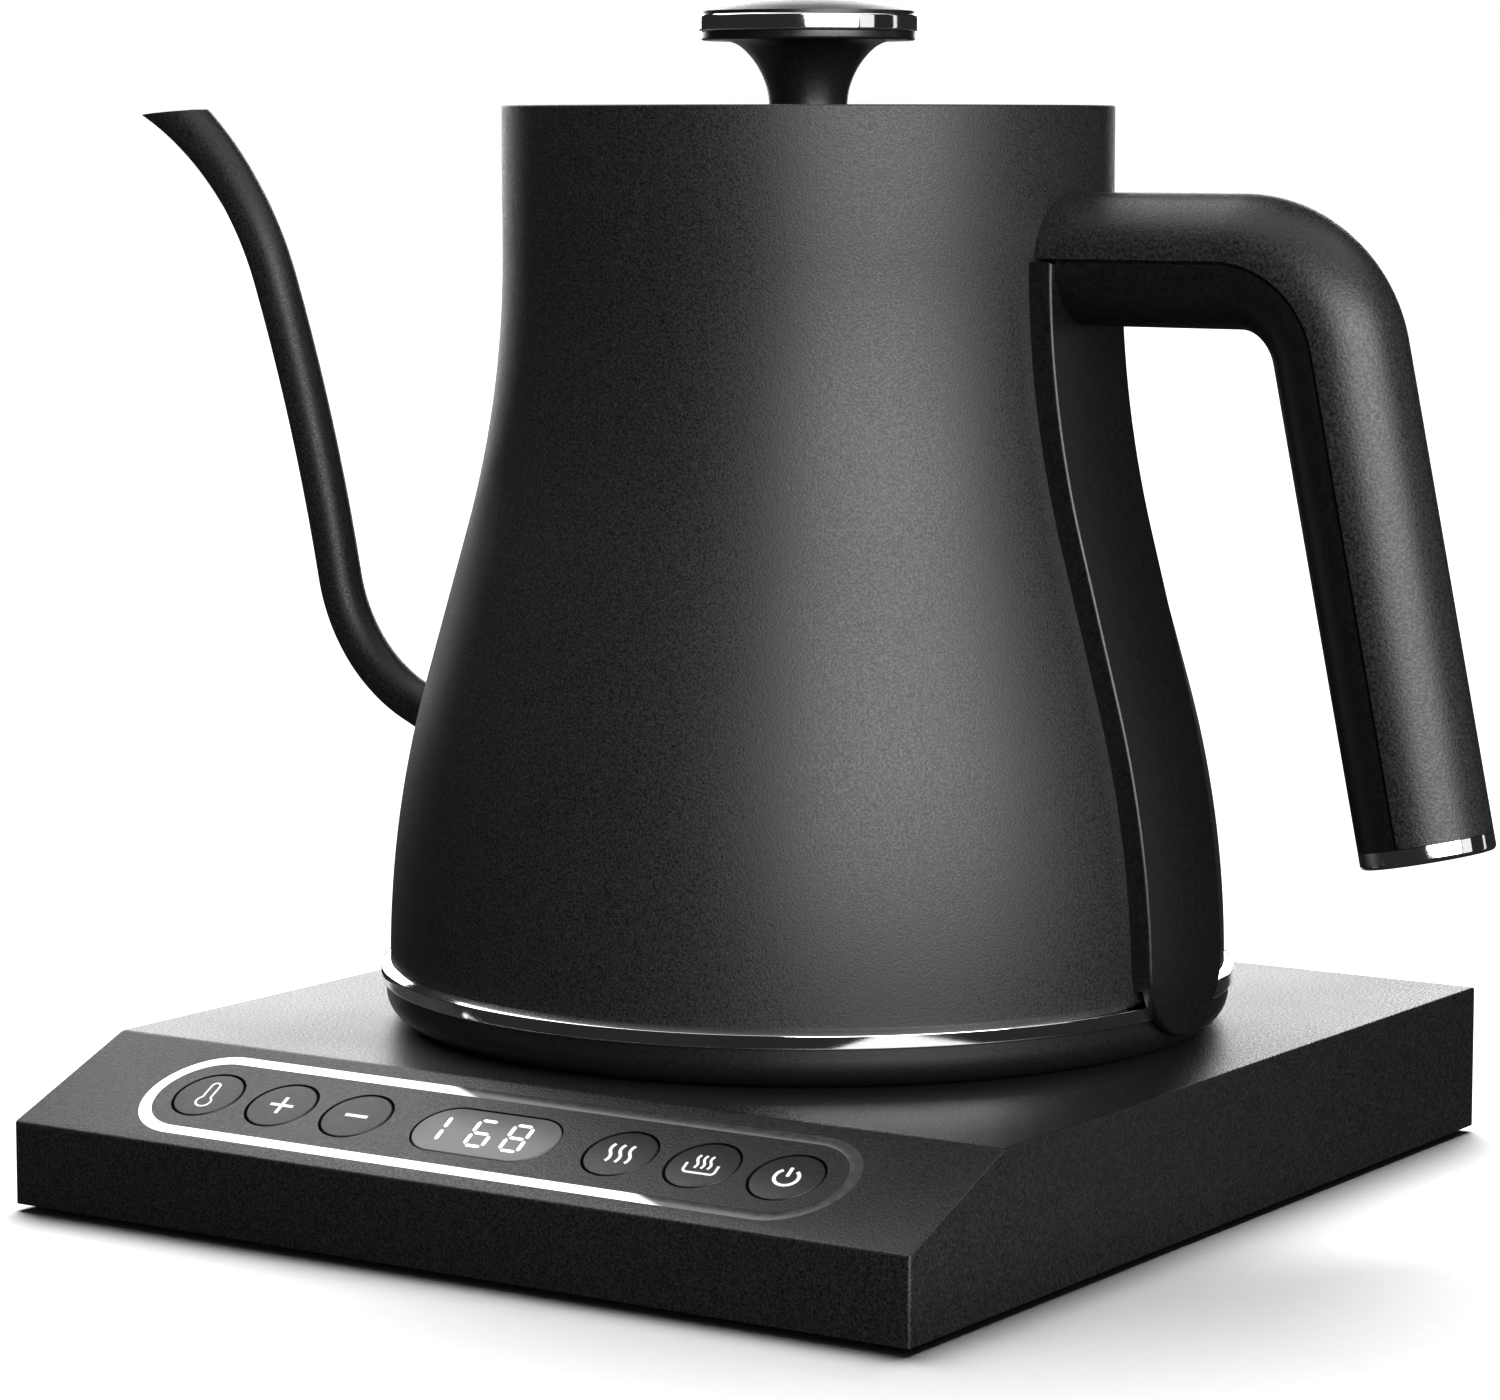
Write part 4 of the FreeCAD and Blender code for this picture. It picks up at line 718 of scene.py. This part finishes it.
vessel = turned("vessel_shell", [
    (NECK_RADIUS, RIM_TOP - RIM_EDGE),
    *side_curve(0),
    (BELLY_RADIUS, shell_low.z),
    (BELLY_RADIUS - SHELL_WALL, shell_low.z),
    *side_curve(-SHELL_WALL, upward=True),
    (NECK_RADIUS - SHELL_WALL, RIM_TOP - RIM_EDGE),
    (NECK_RADIUS - SHELL_WALL + RIM_EDGE, RIM_TOP, -RIM_EDGE),
    (NECK_RADIUS - RIM_EDGE, RIM_TOP),
    (NECK_RADIUS, RIM_TOP - RIM_EDGE, -RIM_EDGE),
], steps=256)
powder_coat = grained("black_powder_coat", 0.38, (0.002,) * 3, (0.014,) * 3, 0.48, 0.12, 0.9)
stainless = grained(
    "brushed_stainless", 0.35, (0.36, 0.36, 0.355), (0.50, 0.49, 0.48), 0.30, 0.07, 0.15,
    metallic=1.0, stretch=(1, 1, 0.08),
)
complete(vessel, "kettle", "coated_steel", powder_coat, "body_shell")
vessel.data.materials.append(stainless)
middle = Vector((AXIS_X, AXIS_Y, 0)) * MM
for side in vessel.data.polygons:
    inward = (side.center - middle).to_2d().dot(side.normal.to_2d())
    side.material_index = 1 if inward < -0.5 * (side.center - middle).to_2d().length else 0


# The spout: a bent stainless tube, coated like the vessel and welded to its side, that opens a
# little towards a mouth cut almost level, with a beak in front.

SPOUT_RADIUS = 4.1
SPOUT_START = (64.4, 66.25)
SPOUT_RISE = 24.8
SPOUT_ROOT = 25.6
SPOUT_BENDS = ((32.0, 79.2), (394.0, 70.8), (64.8, 55.0))
LIP_BEND = (64.8, 27.0)
LIP_RADIUS = 4.9
LIP_STEPS = 14
MOUTH_TILT = math.radians(4.3)
MOUTH = (-152.1, 186.7)


def heading(slope):
    """The spout's direction, and the direction of its upper side, at a slope in degrees."""
    slope = math.radians(slope)
    along = Vector((-math.cos(slope), 0, math.sin(slope)))
    return along, Vector((math.sin(slope), 0, math.cos(slope)))


def bend_spout(at, slope, radius, slope_after, steps):
    """Carry the open end round a bend and say where it then is."""
    turn = slope_after - slope
    centre = at + heading(slope)[1] * math.copysign(radius, turn)
    bpy.ops.mesh.spin(
        steps=steps, angle=-math.radians(turn), center=centre * MM, axis=(0, 1, 0)
    )
    return centre - heading(slope_after)[1] * math.copysign(radius, turn), slope_after


at = Vector((AXIS_X - SPOUT_START[0], AXIS_Y, SPOUT_START[1]))
slope = SPOUT_RISE
along = heading(slope)[0]
let_go()
bpy.ops.mesh.primitive_circle_add(
    vertices=64,
    radius=SPOUT_RADIUS * MM,
    location=at * MM,
    rotation=along.to_track_quat("Z", "Y").to_euler(),
)
tube = bpy.context.object
tube.name = "spout_tube"
bpy.ops.object.transform_apply()
bpy.ops.object.mode_set(mode="EDIT")
bpy.ops.mesh.select_all(action="SELECT")
bpy.ops.mesh.extrude_region_move(TRANSFORM_OT_translate={"value": along * SPOUT_ROOT * MM})
at += along * SPOUT_ROOT
for radius, slope_after in SPOUT_BENDS:
    steps = max(10, math.ceil(abs(slope_after - slope) / 1.6))
    at, slope = bend_spout(at, slope, radius, slope_after, steps)
lip_turn = (LIP_BEND[1] - slope) / LIP_STEPS
growth = (LIP_RADIUS / SPOUT_RADIUS) ** (1 / LIP_STEPS)
for _ in range(LIP_STEPS):
    at, slope = bend_spout(at, slope, LIP_BEND[0], slope + lip_turn, 1)
    bpy.ops.transform.resize(value=(growth,) * 3, center_override=at * MM)
tidy_mesh(tube)
modify(tube, "SOLIDIFY", thickness=SHELL_WALL * MM, offset=-1)
bpy.ops.object.mode_set(mode="EDIT")
bpy.ops.mesh.select_all(action="SELECT")
bpy.ops.mesh.bisect(
    plane_co=Vector((AXIS_X + MOUTH[0], AXIS_Y, MOUTH[1])) * MM,
    plane_no=(-math.sin(MOUTH_TILT), 0, math.cos(MOUTH_TILT)),
    use_fill=True,
    clear_outer=True,
)
root_z = SPOUT_START[1] + 3.6
root_radius = BELLY_RADIUS - BELLY_ARC + math.sqrt(BELLY_ARC**2 - (root_z - BELLY_Z) ** 2)
root_tilt = math.asin((root_z - BELLY_Z) / BELLY_ARC)
bpy.ops.mesh.select_all(action="SELECT")
bpy.ops.mesh.bisect(
    plane_co=Vector((AXIS_X - root_radius + 0.4, AXIS_Y, root_z)) * MM,
    plane_no=(-math.cos(root_tilt), 0, math.sin(root_tilt)),
    use_fill=True,
    clear_inner=True,
)
complete(tube, "kettle", "coated_steel", powder_coat, "spout")


# The lid's ledge is spot-welded inside the neck; the floor is welded across the shell, with the
# heater brazed under it and the temperature probe through it. None of them is coated.

seat_low, seat_high = span("lid_seat")
SEAT_TOP = seat_low.z + 1.2
seat = turned("lid_ledge", [
    (NECK_RADIUS - SHELL_WALL, SEAT_TOP - 1.2),
    (NECK_RADIUS - SHELL_WALL, SEAT_TOP + 6.8),
    (NECK_RADIUS - SHELL_WALL - 0.7, SEAT_TOP + 6.8),
    (NECK_RADIUS - SHELL_WALL - 0.7, SEAT_TOP + 0.6),
    (NECK_RADIUS - SHELL_WALL - 1.3, SEAT_TOP, -0.6),
    (47.2 + 0.4, SEAT_TOP),
    (47.2, SEAT_TOP - 0.4, 0.4),
    (47.2, SEAT_TOP - 1.2),
])
complete(seat, "kettle", "stainless", stainless, "lid_seat")
aluminium = grained(
    "cast_aluminium", 0.8, (0.42, 0.42, 0.43), (0.58, 0.58, 0.59), 0.42, 0.1, 0.2, metallic=1.0
)
dress("vessel_floor", stainless)
dress("heat_spreader", aluminium)
dress("heating_element", stainless)
dress("element_terminals", contact_brass)
dress("temperature_probe", stainless)
dress("probe_seal", rubber)
dress("thermal_cutout", aluminium)


# The trim ring: a bright chromed band pressed over the vessel's lower edge, bevelled along its top.

trim_radius = (ring_high.x - ring_low.x) / 2
chrome = grained(
    "bright_chrome", 12.0, (0.80, 0.80, 0.81), (0.90, 0.90, 0.90), 0.07, 0.03, 0.01, metallic=1.0
)
trim = turned("chrome_trim", [
    (BELLY_RADIUS + 0.05, ring_low.z),
    (trim_radius - 0.3, ring_low.z),
    (trim_radius, ring_low.z + 0.3, 0.3),
    (trim_radius, ring_low.z + 2.2),
    (trim_radius - 0.1, ring_low.z + 2.4, 0.2),
    (BELLY_RADIUS + 0.25, ring_high.z),
    (BELLY_RADIUS + 0.05, ring_high.z),
], steps=256)
complete(trim, "kettle", "chrome", chrome, "trim_ring")


# The kettle's foot: a black moulded tray, screwed up to the vessel floor, that holds the kettle's
# half of the coupling so that it can turn.

foot_low, foot_high = span("foot_housing")
FOOT_RADIUS = 75.2
COUPLING_RADIUS = 21.0
spigot = BELLY_RADIUS - SHELL_WALL - 0.1
tray = turned("foot_tray", [
    (COUPLING_RADIUS + 0.3, foot_low.z),
    (FOOT_RADIUS - 5, foot_low.z),
    (FOOT_RADIUS, foot_low.z + 5, 5),
    (FOOT_RADIUS, ring_low.z - 0.05),
    (spigot, ring_low.z - 0.05),
    (spigot, foot_high.z),
    (spigot - 2, foot_high.z),
    (spigot - 2, foot_low.z + 2),
    (COUPLING_RADIUS + 0.3, foot_low.z + 2),
], steps=256)
for degrees in (60, 180, 300):
    angle = math.radians(degrees)
    spot = (AXIS_X + 62 * math.cos(angle), AXIS_Y + 62 * math.sin(angle))
    cut(tray, rod(3.1, foot_low.z - 1, foot_low.z + 1.2, spot, steps=48))
    cut(tray, rod(1.65, foot_low.z - 1, foot_low.z + 3, spot, steps=48))
foot_plastic = grained("satin_black_abs", 0.5, (0.003,) * 3, (0.007,) * 3, 0.40, 0.05, 0.3)
complete(tray, "kettle", "base_plastic", foot_plastic, "foot_housing")
dress("foot_screws", screw_steel)
cup_low, cup_high = span("kettle_connector")
cup = turned("coupling_cup", [
    (0, cup_high.z - 2),
    (15.5, cup_high.z - 2),
    (15.5, cup_low.z + 1),
    (16.5, cup_low.z),
    (COUPLING_RADIUS - 0.4, cup_low.z),
    (COUPLING_RADIUS, cup_low.z + 0.4, 0.4),
    (COUPLING_RADIUS, foot_low.z + 2.3),
    (COUPLING_RADIUS + 4, foot_low.z + 2.3),
    (COUPLING_RADIUS + 4, foot_low.z + 3.9),
    (COUPLING_RADIUS, foot_low.z + 3.9),
    (COUPLING_RADIUS, cup_high.z),
    (0, cup_high.z),
])
complete(cup, "coupling", "inner_plastic", inner_plastic, "kettle_connector")
dress("connector_pins", contact_brass)


# The handle: a steel bar welded to the neck, closed in two nylon mouldings. The outer one is
# grained and runs over the bend; the inner one is smooth, and a thin groove parts them.

handle_low, handle_high = span("handle_shell")
HANDLE_RADIUS = (handle_high.y - handle_low.y) / 2
HANDLE_WALL = 2.2
HANDLE_Z = handle_high.z - HANDLE_RADIUS
HANDLE_CORNER = 101.56
HANDLE_BEND = 18.5
SPLAY = math.radians(11.8)
GRIP_END = 64.6
CAP_THICK = 3.0
PARTING = 0.3
bend_run = HANDLE_BEND * math.tan((math.pi / 2 - SPLAY) / 2)
grip_way = Vector((math.sin(SPLAY), 0, -math.cos(SPLAY)))
grip_end = Vector((AXIS_X + HANDLE_CORNER, AXIS_Y, HANDLE_Z))
grip_end += grip_way * (HANDLE_Z - GRIP_END) / math.cos(SPLAY)
across_arm = Matrix(((0, 0, 1, 0), (1, 0, 0, 0), (0, 1, 0, 0), (0, 0, 0, 1)))


def sweep_handle(name, start, spots):
    """Carry a section from x = start out along the arm, round the bend and down the grip."""
    place = Matrix.Translation(Vector((AXIS_X + start, AXIS_Y, HANDLE_Z)) * MM) @ across_arm
    piece = face(name, spots, place)
    arm = HANDLE_CORNER - bend_run - start
    bpy.ops.mesh.extrude_region_move(TRANSFORM_OT_translate={"value": (arm * MM, 0, 0)})
    bend_x = AXIS_X + HANDLE_CORNER - bend_run
    bpy.ops.mesh.spin(
        steps=40,
        angle=-(math.pi / 2 - SPLAY),
        center=(bend_x * MM, AXIS_Y * MM, (HANDLE_Z - HANDLE_BEND) * MM),
        axis=(0, 1, 0),
    )
    grip = (HANDLE_Z - GRIP_END) / math.cos(SPLAY) - bend_run - CAP_THICK
    bpy.ops.mesh.extrude_region_move(TRANSFORM_OT_translate={"value": grip_way * grip * MM})
    tidy_mesh(piece)
    return piece


outer, inner = HANDLE_RADIUS, HANDLE_RADIUS - HANDLE_WALL
wide = math.sqrt(outer**2 - PARTING**2)
narrow = math.sqrt(inner**2 - PARTING**2)
lip = outer - 1.0
upper_half = sweep_handle("handle_outer_moulding", 45, [
    (wide, PARTING),
    (0, outer, outer),
    (-wide, PARTING, outer),
    (-narrow, PARTING),
    (0, inner, -inner),
    (narrow, PARTING, -inner),
])
cut(upper_half, rod(NECK_RADIUS + 0.02, 130, 190, (AXIS_X, AXIS_Y), steps=256))
handle_coat = grained("grained_black_nylon", 0.50, (0.003,) * 3, (0.015,) * 3, 0.44, 0.12, 1.0)
complete(upper_half, "kettle", "coated_handle", handle_coat, "handle_shell")

STRIP_HALF = 12.5
STRIP_PROUD = 2.8
STRIP_TIP = 30.5
SIDE = AXIS @ Matrix.Rotation(math.pi / 2, 4, "X")


def strip_block(out):
    """The block whose outer face is the strip's, from inside the vessel out to that face."""
    spots = [
        (40, NECK_LOW + 20),
        (40, STRIP_TIP - 10),
        (BELLY_RADIUS + STRIP_PROUD + out, STRIP_TIP - 10),
        *side_curve(STRIP_PROUD + out, upward=True),
        (NECK_RADIUS + STRIP_PROUD + out, NECK_LOW + 20),
    ]
    block = slab("tool", spots, 40, SIDE)
    block.data.transform(Matrix.Translation((0, 20 * MM, 0)))
    return block


lower_half = sweep_handle("handle_inner_moulding", 45, [
    (-wide, -PARTING),
    (0, -outer, outer),
    (wide, -PARTING, outer),
    (lip, -PARTING),
    (lip, PARTING),
    (narrow, PARTING),
    (0, -inner, -inner),
    (-narrow, PARTING, -inner),
    (-lip, PARTING),
    (-lip, -PARTING),
])
cut(lower_half, strip_block(0.05))
smooth_nylon = grained("smooth_black_nylon", 0.7, (0.002,) * 3, (0.005,) * 3, 0.36, 0.05, 0.12)
complete(lower_half, "kettle", "smooth_plastic", smooth_nylon, "handle_insert")
dress("handle_core", stainless)


# The strip: a flat-faced smooth nylon moulding that covers the weld seam under the handle. It lies
# against the vessel from the handle down over the trim ring, and ends in a round tip.

strip_front = Matrix.Translation(Vector((AXIS_X + 45, AXIS_Y, 0)) * MM) @ across_arm
strip = slab("seam_strip", [
    (STRIP_HALF, HANDLE_Z - PARTING),
    (-STRIP_HALF, HANDLE_Z - PARTING),
    (-STRIP_HALF, STRIP_TIP + STRIP_HALF),
    (STRIP_HALF, STRIP_TIP + STRIP_HALF, STRIP_HALF),
], 45, strip_front)
cut(strip, strip_block(0), "INTERSECT")
take(strip)
bpy.ops.object.mode_set(mode="EDIT")


def face_edge(edge):
    """An edge between the strip's outer face and its sides or tip."""
    leans = sorted(side.normal.x for side in edge.link_faces)
    return len(leans) == 2 and leans[1] > 0.9 and abs(leans[0]) < 0.15


pick("EDGE", face_edge)
bpy.ops.mesh.bevel(offset=0.6 * MM, segments=4, affect="EDGES")
step_z = ring_low.z + 3.3 + 2
step_radius = BELLY_RADIUS - BELLY_ARC
step_radius += math.sqrt((BELLY_ARC + 0.05) ** 2 - (step_z - BELLY_Z) ** 2)
vessel_side = turned("tool", [
    (0, NECK_LOW + 20),
    (0, 20),
    (trim_radius + 0.05, 20),
    (trim_radius + 0.05, step_z),
    (step_radius, step_z),
    (*side_curve(0.05, upward=True)[1][:2], BELLY_ARC + 0.05),
    *side_curve(0.05, upward=True)[2:],
    (NECK_RADIUS + 0.05, NECK_LOW + 20),
], steps=256)
cut(strip, vessel_side)
complete(strip, "kettle", "smooth_plastic", smooth_nylon, "handle_strip")


# The end cap: a chromed disc on the end of the grip, held by a screw up into the handle's bar.

GRIP = Matrix.Translation(grip_end * MM) @ Matrix.Rotation(-SPLAY, 4, "Y")
cap_face = CAP_THICK - 0.1
cap_spigot = inner - 0.1
end_cap = turned("grip_end_cap", [
    (3.2, 0),
    (HANDLE_RADIUS - 0.8, 0),
    (HANDLE_RADIUS, 0.8, 0.8),
    (HANDLE_RADIUS, cap_face),
    (cap_spigot, cap_face),
    (cap_spigot, cap_face + 5),
    (cap_spigot - 1.5, cap_face + 5),
    (cap_spigot - 1.5, cap_face),
    (1.7, cap_face),
    (1.7, 1.7),
    (3.2, 1.7),
], about=GRIP, steps=128)
complete(end_cap, "kettle", "chrome", chrome, "handle_cap")
dress("cap_screw", screw_steel)


# The lid: a coated steel cover with three steam vents, over a bare steel liner cup that a silicone
# ring centres in the ledge's hole.

lid_low, lid_high = span("lid_cover")
LID_TOP = lid_high.z
LID_RADIUS = (lid_high.x - lid_low.x) / 2
LID_EDGE = 1.2
VENTS = [
    (AXIS_X + 42 * math.cos(angle), AXIS_Y + 42 * math.sin(angle))
    for angle in (math.radians(168), math.pi, math.radians(192))
]
lid = turned("lid_top_cover", [
    (2.1, LID_TOP),
    (2.1, LID_TOP - SHELL_WALL),
    (LID_RADIUS - SHELL_WALL, LID_TOP - SHELL_WALL),
    (LID_RADIUS - SHELL_WALL, lid_low.z),
    (LID_RADIUS, lid_low.z),
    (LID_RADIUS, LID_TOP - LID_EDGE),
    (LID_RADIUS - LID_EDGE, LID_TOP, LID_EDGE),
    (2.1, LID_TOP),
][:-1], steps=256)
for vent in VENTS:
    cut(lid, rod(1.3, LID_TOP - 3, LID_TOP + 2, vent, steps=32))
complete(lid, "lid", "coated_steel", powder_coat, "lid_cover", smooth=25)
liner_low, liner_high = span("lid_liner")
LINER_RADIUS = (liner_high.x - liner_low.x) / 2
liner = turned("lid_liner_cup", [
    (0, liner_low.z),
    (LINER_RADIUS - 1, liner_low.z),
    (LINER_RADIUS, liner_low.z + 1, 1),
    (LINER_RADIUS, liner_high.z),
    (LINER_RADIUS - SHELL_WALL, liner_high.z),
    (LINER_RADIUS - SHELL_WALL, liner_low.z + SHELL_WALL),
    (0, liner_low.z + SHELL_WALL),
])
for vent in VENTS:
    cut(liner, rod(1.3, liner_low.z - 1, liner_low.z + 2, vent, steps=32))
complete(liner, "lid", "stainless", stainless, "lid_liner", smooth=25)
gasket_low, gasket_high = span("lid_gasket")
gasket_radius = (gasket_high.x - gasket_low.x) / 2
gasket = turned("lid_seal_ring", [
    (LINER_RADIUS + 0.02, gasket_low.z),
    (gasket_radius - 0.15, gasket_low.z),
    (gasket_radius, gasket_low.z + 1.5),
    (gasket_radius - 0.15, gasket_high.z),
    (LINER_RADIUS + 0.02, gasket_high.z),
])
silicone = grained("grey_silicone", 0.9, (0.10,) * 3, (0.15,) * 3, 0.6, 0.06, 0.1)
complete(gasket, "lid", "rubber", silicone, "lid_gasket")


# The knob: a flared satin black stem and disc in one moulding, a chromed ring set on the disc and a
# domed black cap pressed into the ring. One screw from under the lid holds it.

stem_low, stem_high = span("knob_stem")
knob_ring_low, knob_ring_high = span("knob_ring")
crown_low, crown_high = span("knob_cap")
KNOB_RADIUS = (stem_high.x - stem_low.x) / 2
KNOB_UNDER = 199.5
STEM_RADIUS = 6.9
STEM_SWEEP = 13.5
STEM_STEEP = math.radians(48)
shoulder_z = LID_TOP + 0.6 + STEM_SWEEP * math.sin(STEM_STEEP)
shoulder_radius = STEM_RADIUS + STEM_SWEEP * (1 - math.cos(STEM_STEEP))
under_bend = (KNOB_UNDER - shoulder_z) / (1 - math.sin(STEM_STEEP))
stem = turned("knob_stem_moulding", [
    (2, LID_TOP),
    (STEM_RADIUS, LID_TOP),
    (STEM_RADIUS, LID_TOP + 0.6),
    (shoulder_radius, shoulder_z, -STEM_SWEEP),
    (shoulder_radius + under_bend * math.cos(STEM_STEEP), KNOB_UNDER, -under_bend),
    (KNOB_RADIUS - 0.5, KNOB_UNDER),
    (KNOB_RADIUS, KNOB_UNDER + 0.5, 0.5),
    (KNOB_RADIUS, stem_high.z - 0.15),
    (KNOB_RADIUS - 0.15, stem_high.z, 0.15),
    (0, stem_high.z),
    (0, KNOB_UNDER - 3),
    (2, KNOB_UNDER - 3),
])
knob_plastic = grained("satin_black_knob", 0.6, (0.003,) * 3, (0.007,) * 3, 0.34, 0.05, 0.15)
complete(stem, "lid", "knob_plastic", knob_plastic, "knob_stem")
bright_radius = (knob_ring_high.x - knob_ring_low.x) / 2
bright = turned("knob_bright_ring", [
    (16, knob_ring_low.z),
    (bright_radius - 0.45, knob_ring_low.z),
    (bright_radius, knob_ring_low.z + 0.45, 0.45),
    (bright_radius, knob_ring_high.z - 0.45),
    (bright_radius - 0.45, knob_ring_high.z, 0.45),
    (16, knob_ring_high.z),
])
complete(bright, "lid", "chrome", chrome, "knob_ring")
crown_reach = (crown_high.x - crown_low.x) / 2
crown_rim = knob_ring_high.z + 0.6
crown_rise = crown_high.z - crown_rim
crown_arc = (crown_reach**2 + crown_rise**2) / (2 * crown_rise)
crown = turned("knob_crown", [
    (0, crown_low.z),
    (15.95, crown_low.z),
    (15.95, knob_ring_high.z + 0.02),
    (crown_reach, knob_ring_high.z + 0.02),
    (crown_reach, crown_rim),
    (0, crown_high.z, crown_arc),
])
complete(crown, "lid", "knob_plastic", knob_plastic, "knob_cap")
dress("knob_washer", stainless)
dress("knob_screw", screw_steel)


# The studio: a plain pale floor, soft lamps and the camera.

let_go()
bpy.ops.mesh.primitive_plane_add(size=16, location=(0, 0, 0))
floor = bpy.context.object
floor.name = "floor"
bpy.ops.object.transform_apply()
floor.data.materials.append(
    grained("pale_paper", 4.0, (0.80,) * 3, (0.82,) * 3, 0.9, 0.03, 0.02)
)
floor.visible_glossy = False

CAMERA_PLACE = Vector((473.0, -705.0, 184.5)) * MM
CAMERA_TURN = math.radians(33.577)
CAMERA_DIP = math.radians(6.780)
camera_data = bpy.data.cameras.new("camera")
camera_data.lens = 115.71
camera_data.sensor_width = 36
camera_data.clip_start = 0.01
camera = bpy.data.objects.new("camera", camera_data)
camera.location = CAMERA_PLACE
camera.rotation_euler = (math.pi / 2 - CAMERA_DIP, 0, CAMERA_TURN)
bpy.context.scene.collection.objects.link(camera)
bpy.context.scene.camera = camera


def softbox(name, round_camera, up, distance, width, tall, power, aim=(0, 0, 90)):
    """A soft lamp, some degrees round to the right from the camera and some degrees up."""
    turn = CAMERA_TURN + math.radians(round_camera)
    rise = math.radians(up)
    way = Vector((math.sin(turn) * math.cos(rise), -math.cos(turn) * math.cos(rise), math.sin(rise)))
    target = Vector(aim) * MM
    lamp_data = bpy.data.lights.new(name, "AREA")
    lamp_data.shape = "RECTANGLE"
    lamp_data.size, lamp_data.size_y = width, tall
    lamp_data.energy = power
    lamp = bpy.data.objects.new(name, lamp_data)
    lamp.location = target + way * distance
    lamp.rotation_euler = way.to_track_quat("Z", "Y").to_euler()
    lamp.visible_camera = False
    bpy.context.scene.collection.objects.link(lamp)
    return lamp


lamps = [
    softbox("key", 25, 19, 1.4, 1.5, 0.98, 37),
    softbox("key_edge", 63, 15, 1.4, 0.42, 1.1, 1.5),
    softbox("edge_strip", 101, 10, 1.2, 0.12, 1.0, 0.35),
    softbox("over", -140, 50, 1.4, 1.3, 0.8, 11.5),
    softbox("top", 0, 84, 1.4, 2.0, 1.1, 7.5),
    softbox("top_right", 100, 52, 1.4, 0.8, 0.5, 1.5),
    softbox("back", -176, 10, 2.2, 2.1, 0.85, 27),
]
sky_data = bpy.data.lights.new("floor_light", "SUN")
sky_data.energy = 6.4
sky_data.angle = math.radians(50)
floor_lamp = bpy.data.objects.new("floor_light", sky_data)
floor_lamp.rotation_euler = (math.radians(-32), 0, CAMERA_TURN)
bpy.context.scene.collection.objects.link(floor_lamp)
without_floor = bpy.data.collections.new("without_floor")
without_floor.objects.link(floor)
without_floor.collection_objects[0].light_linking.link_state = "EXCLUDE"
for lamp in lamps:
    lamp.light_linking.receiver_collection = without_floor
floor_only = bpy.data.collections.new("floor_only")
floor_only.objects.link(floor)
floor_lamp.light_linking.receiver_collection = floor_only

world = bpy.data.worlds.new("studio")
bpy.context.scene.world = world
world.use_nodes = True
nodes, links = world.node_tree.nodes, world.node_tree.links
surround = nodes["Background"]
surround.inputs["Color"].default_value = (1, 1, 1, 1)
surround.inputs["Strength"].default_value = 0.03
backdrop = nodes.new("ShaderNodeBackground")
backdrop.inputs["Color"].default_value = (1, 1, 1, 1)
backdrop.inputs["Strength"].default_value = 1.0
path = nodes.new("ShaderNodeLightPath")
either = nodes.new("ShaderNodeMixShader")
links.new(path.outputs["Is Camera Ray"], either.inputs["Fac"])
links.new(surround.outputs["Background"], either.inputs[1])
links.new(backdrop.outputs["Background"], either.inputs[2])
links.new(either.outputs["Shader"], nodes["World Output"].inputs["Surface"])
bpy.context.scene.view_settings.view_transform = "Standard"
bpy.context.scene.view_settings.gamma = 0.92


let_go()
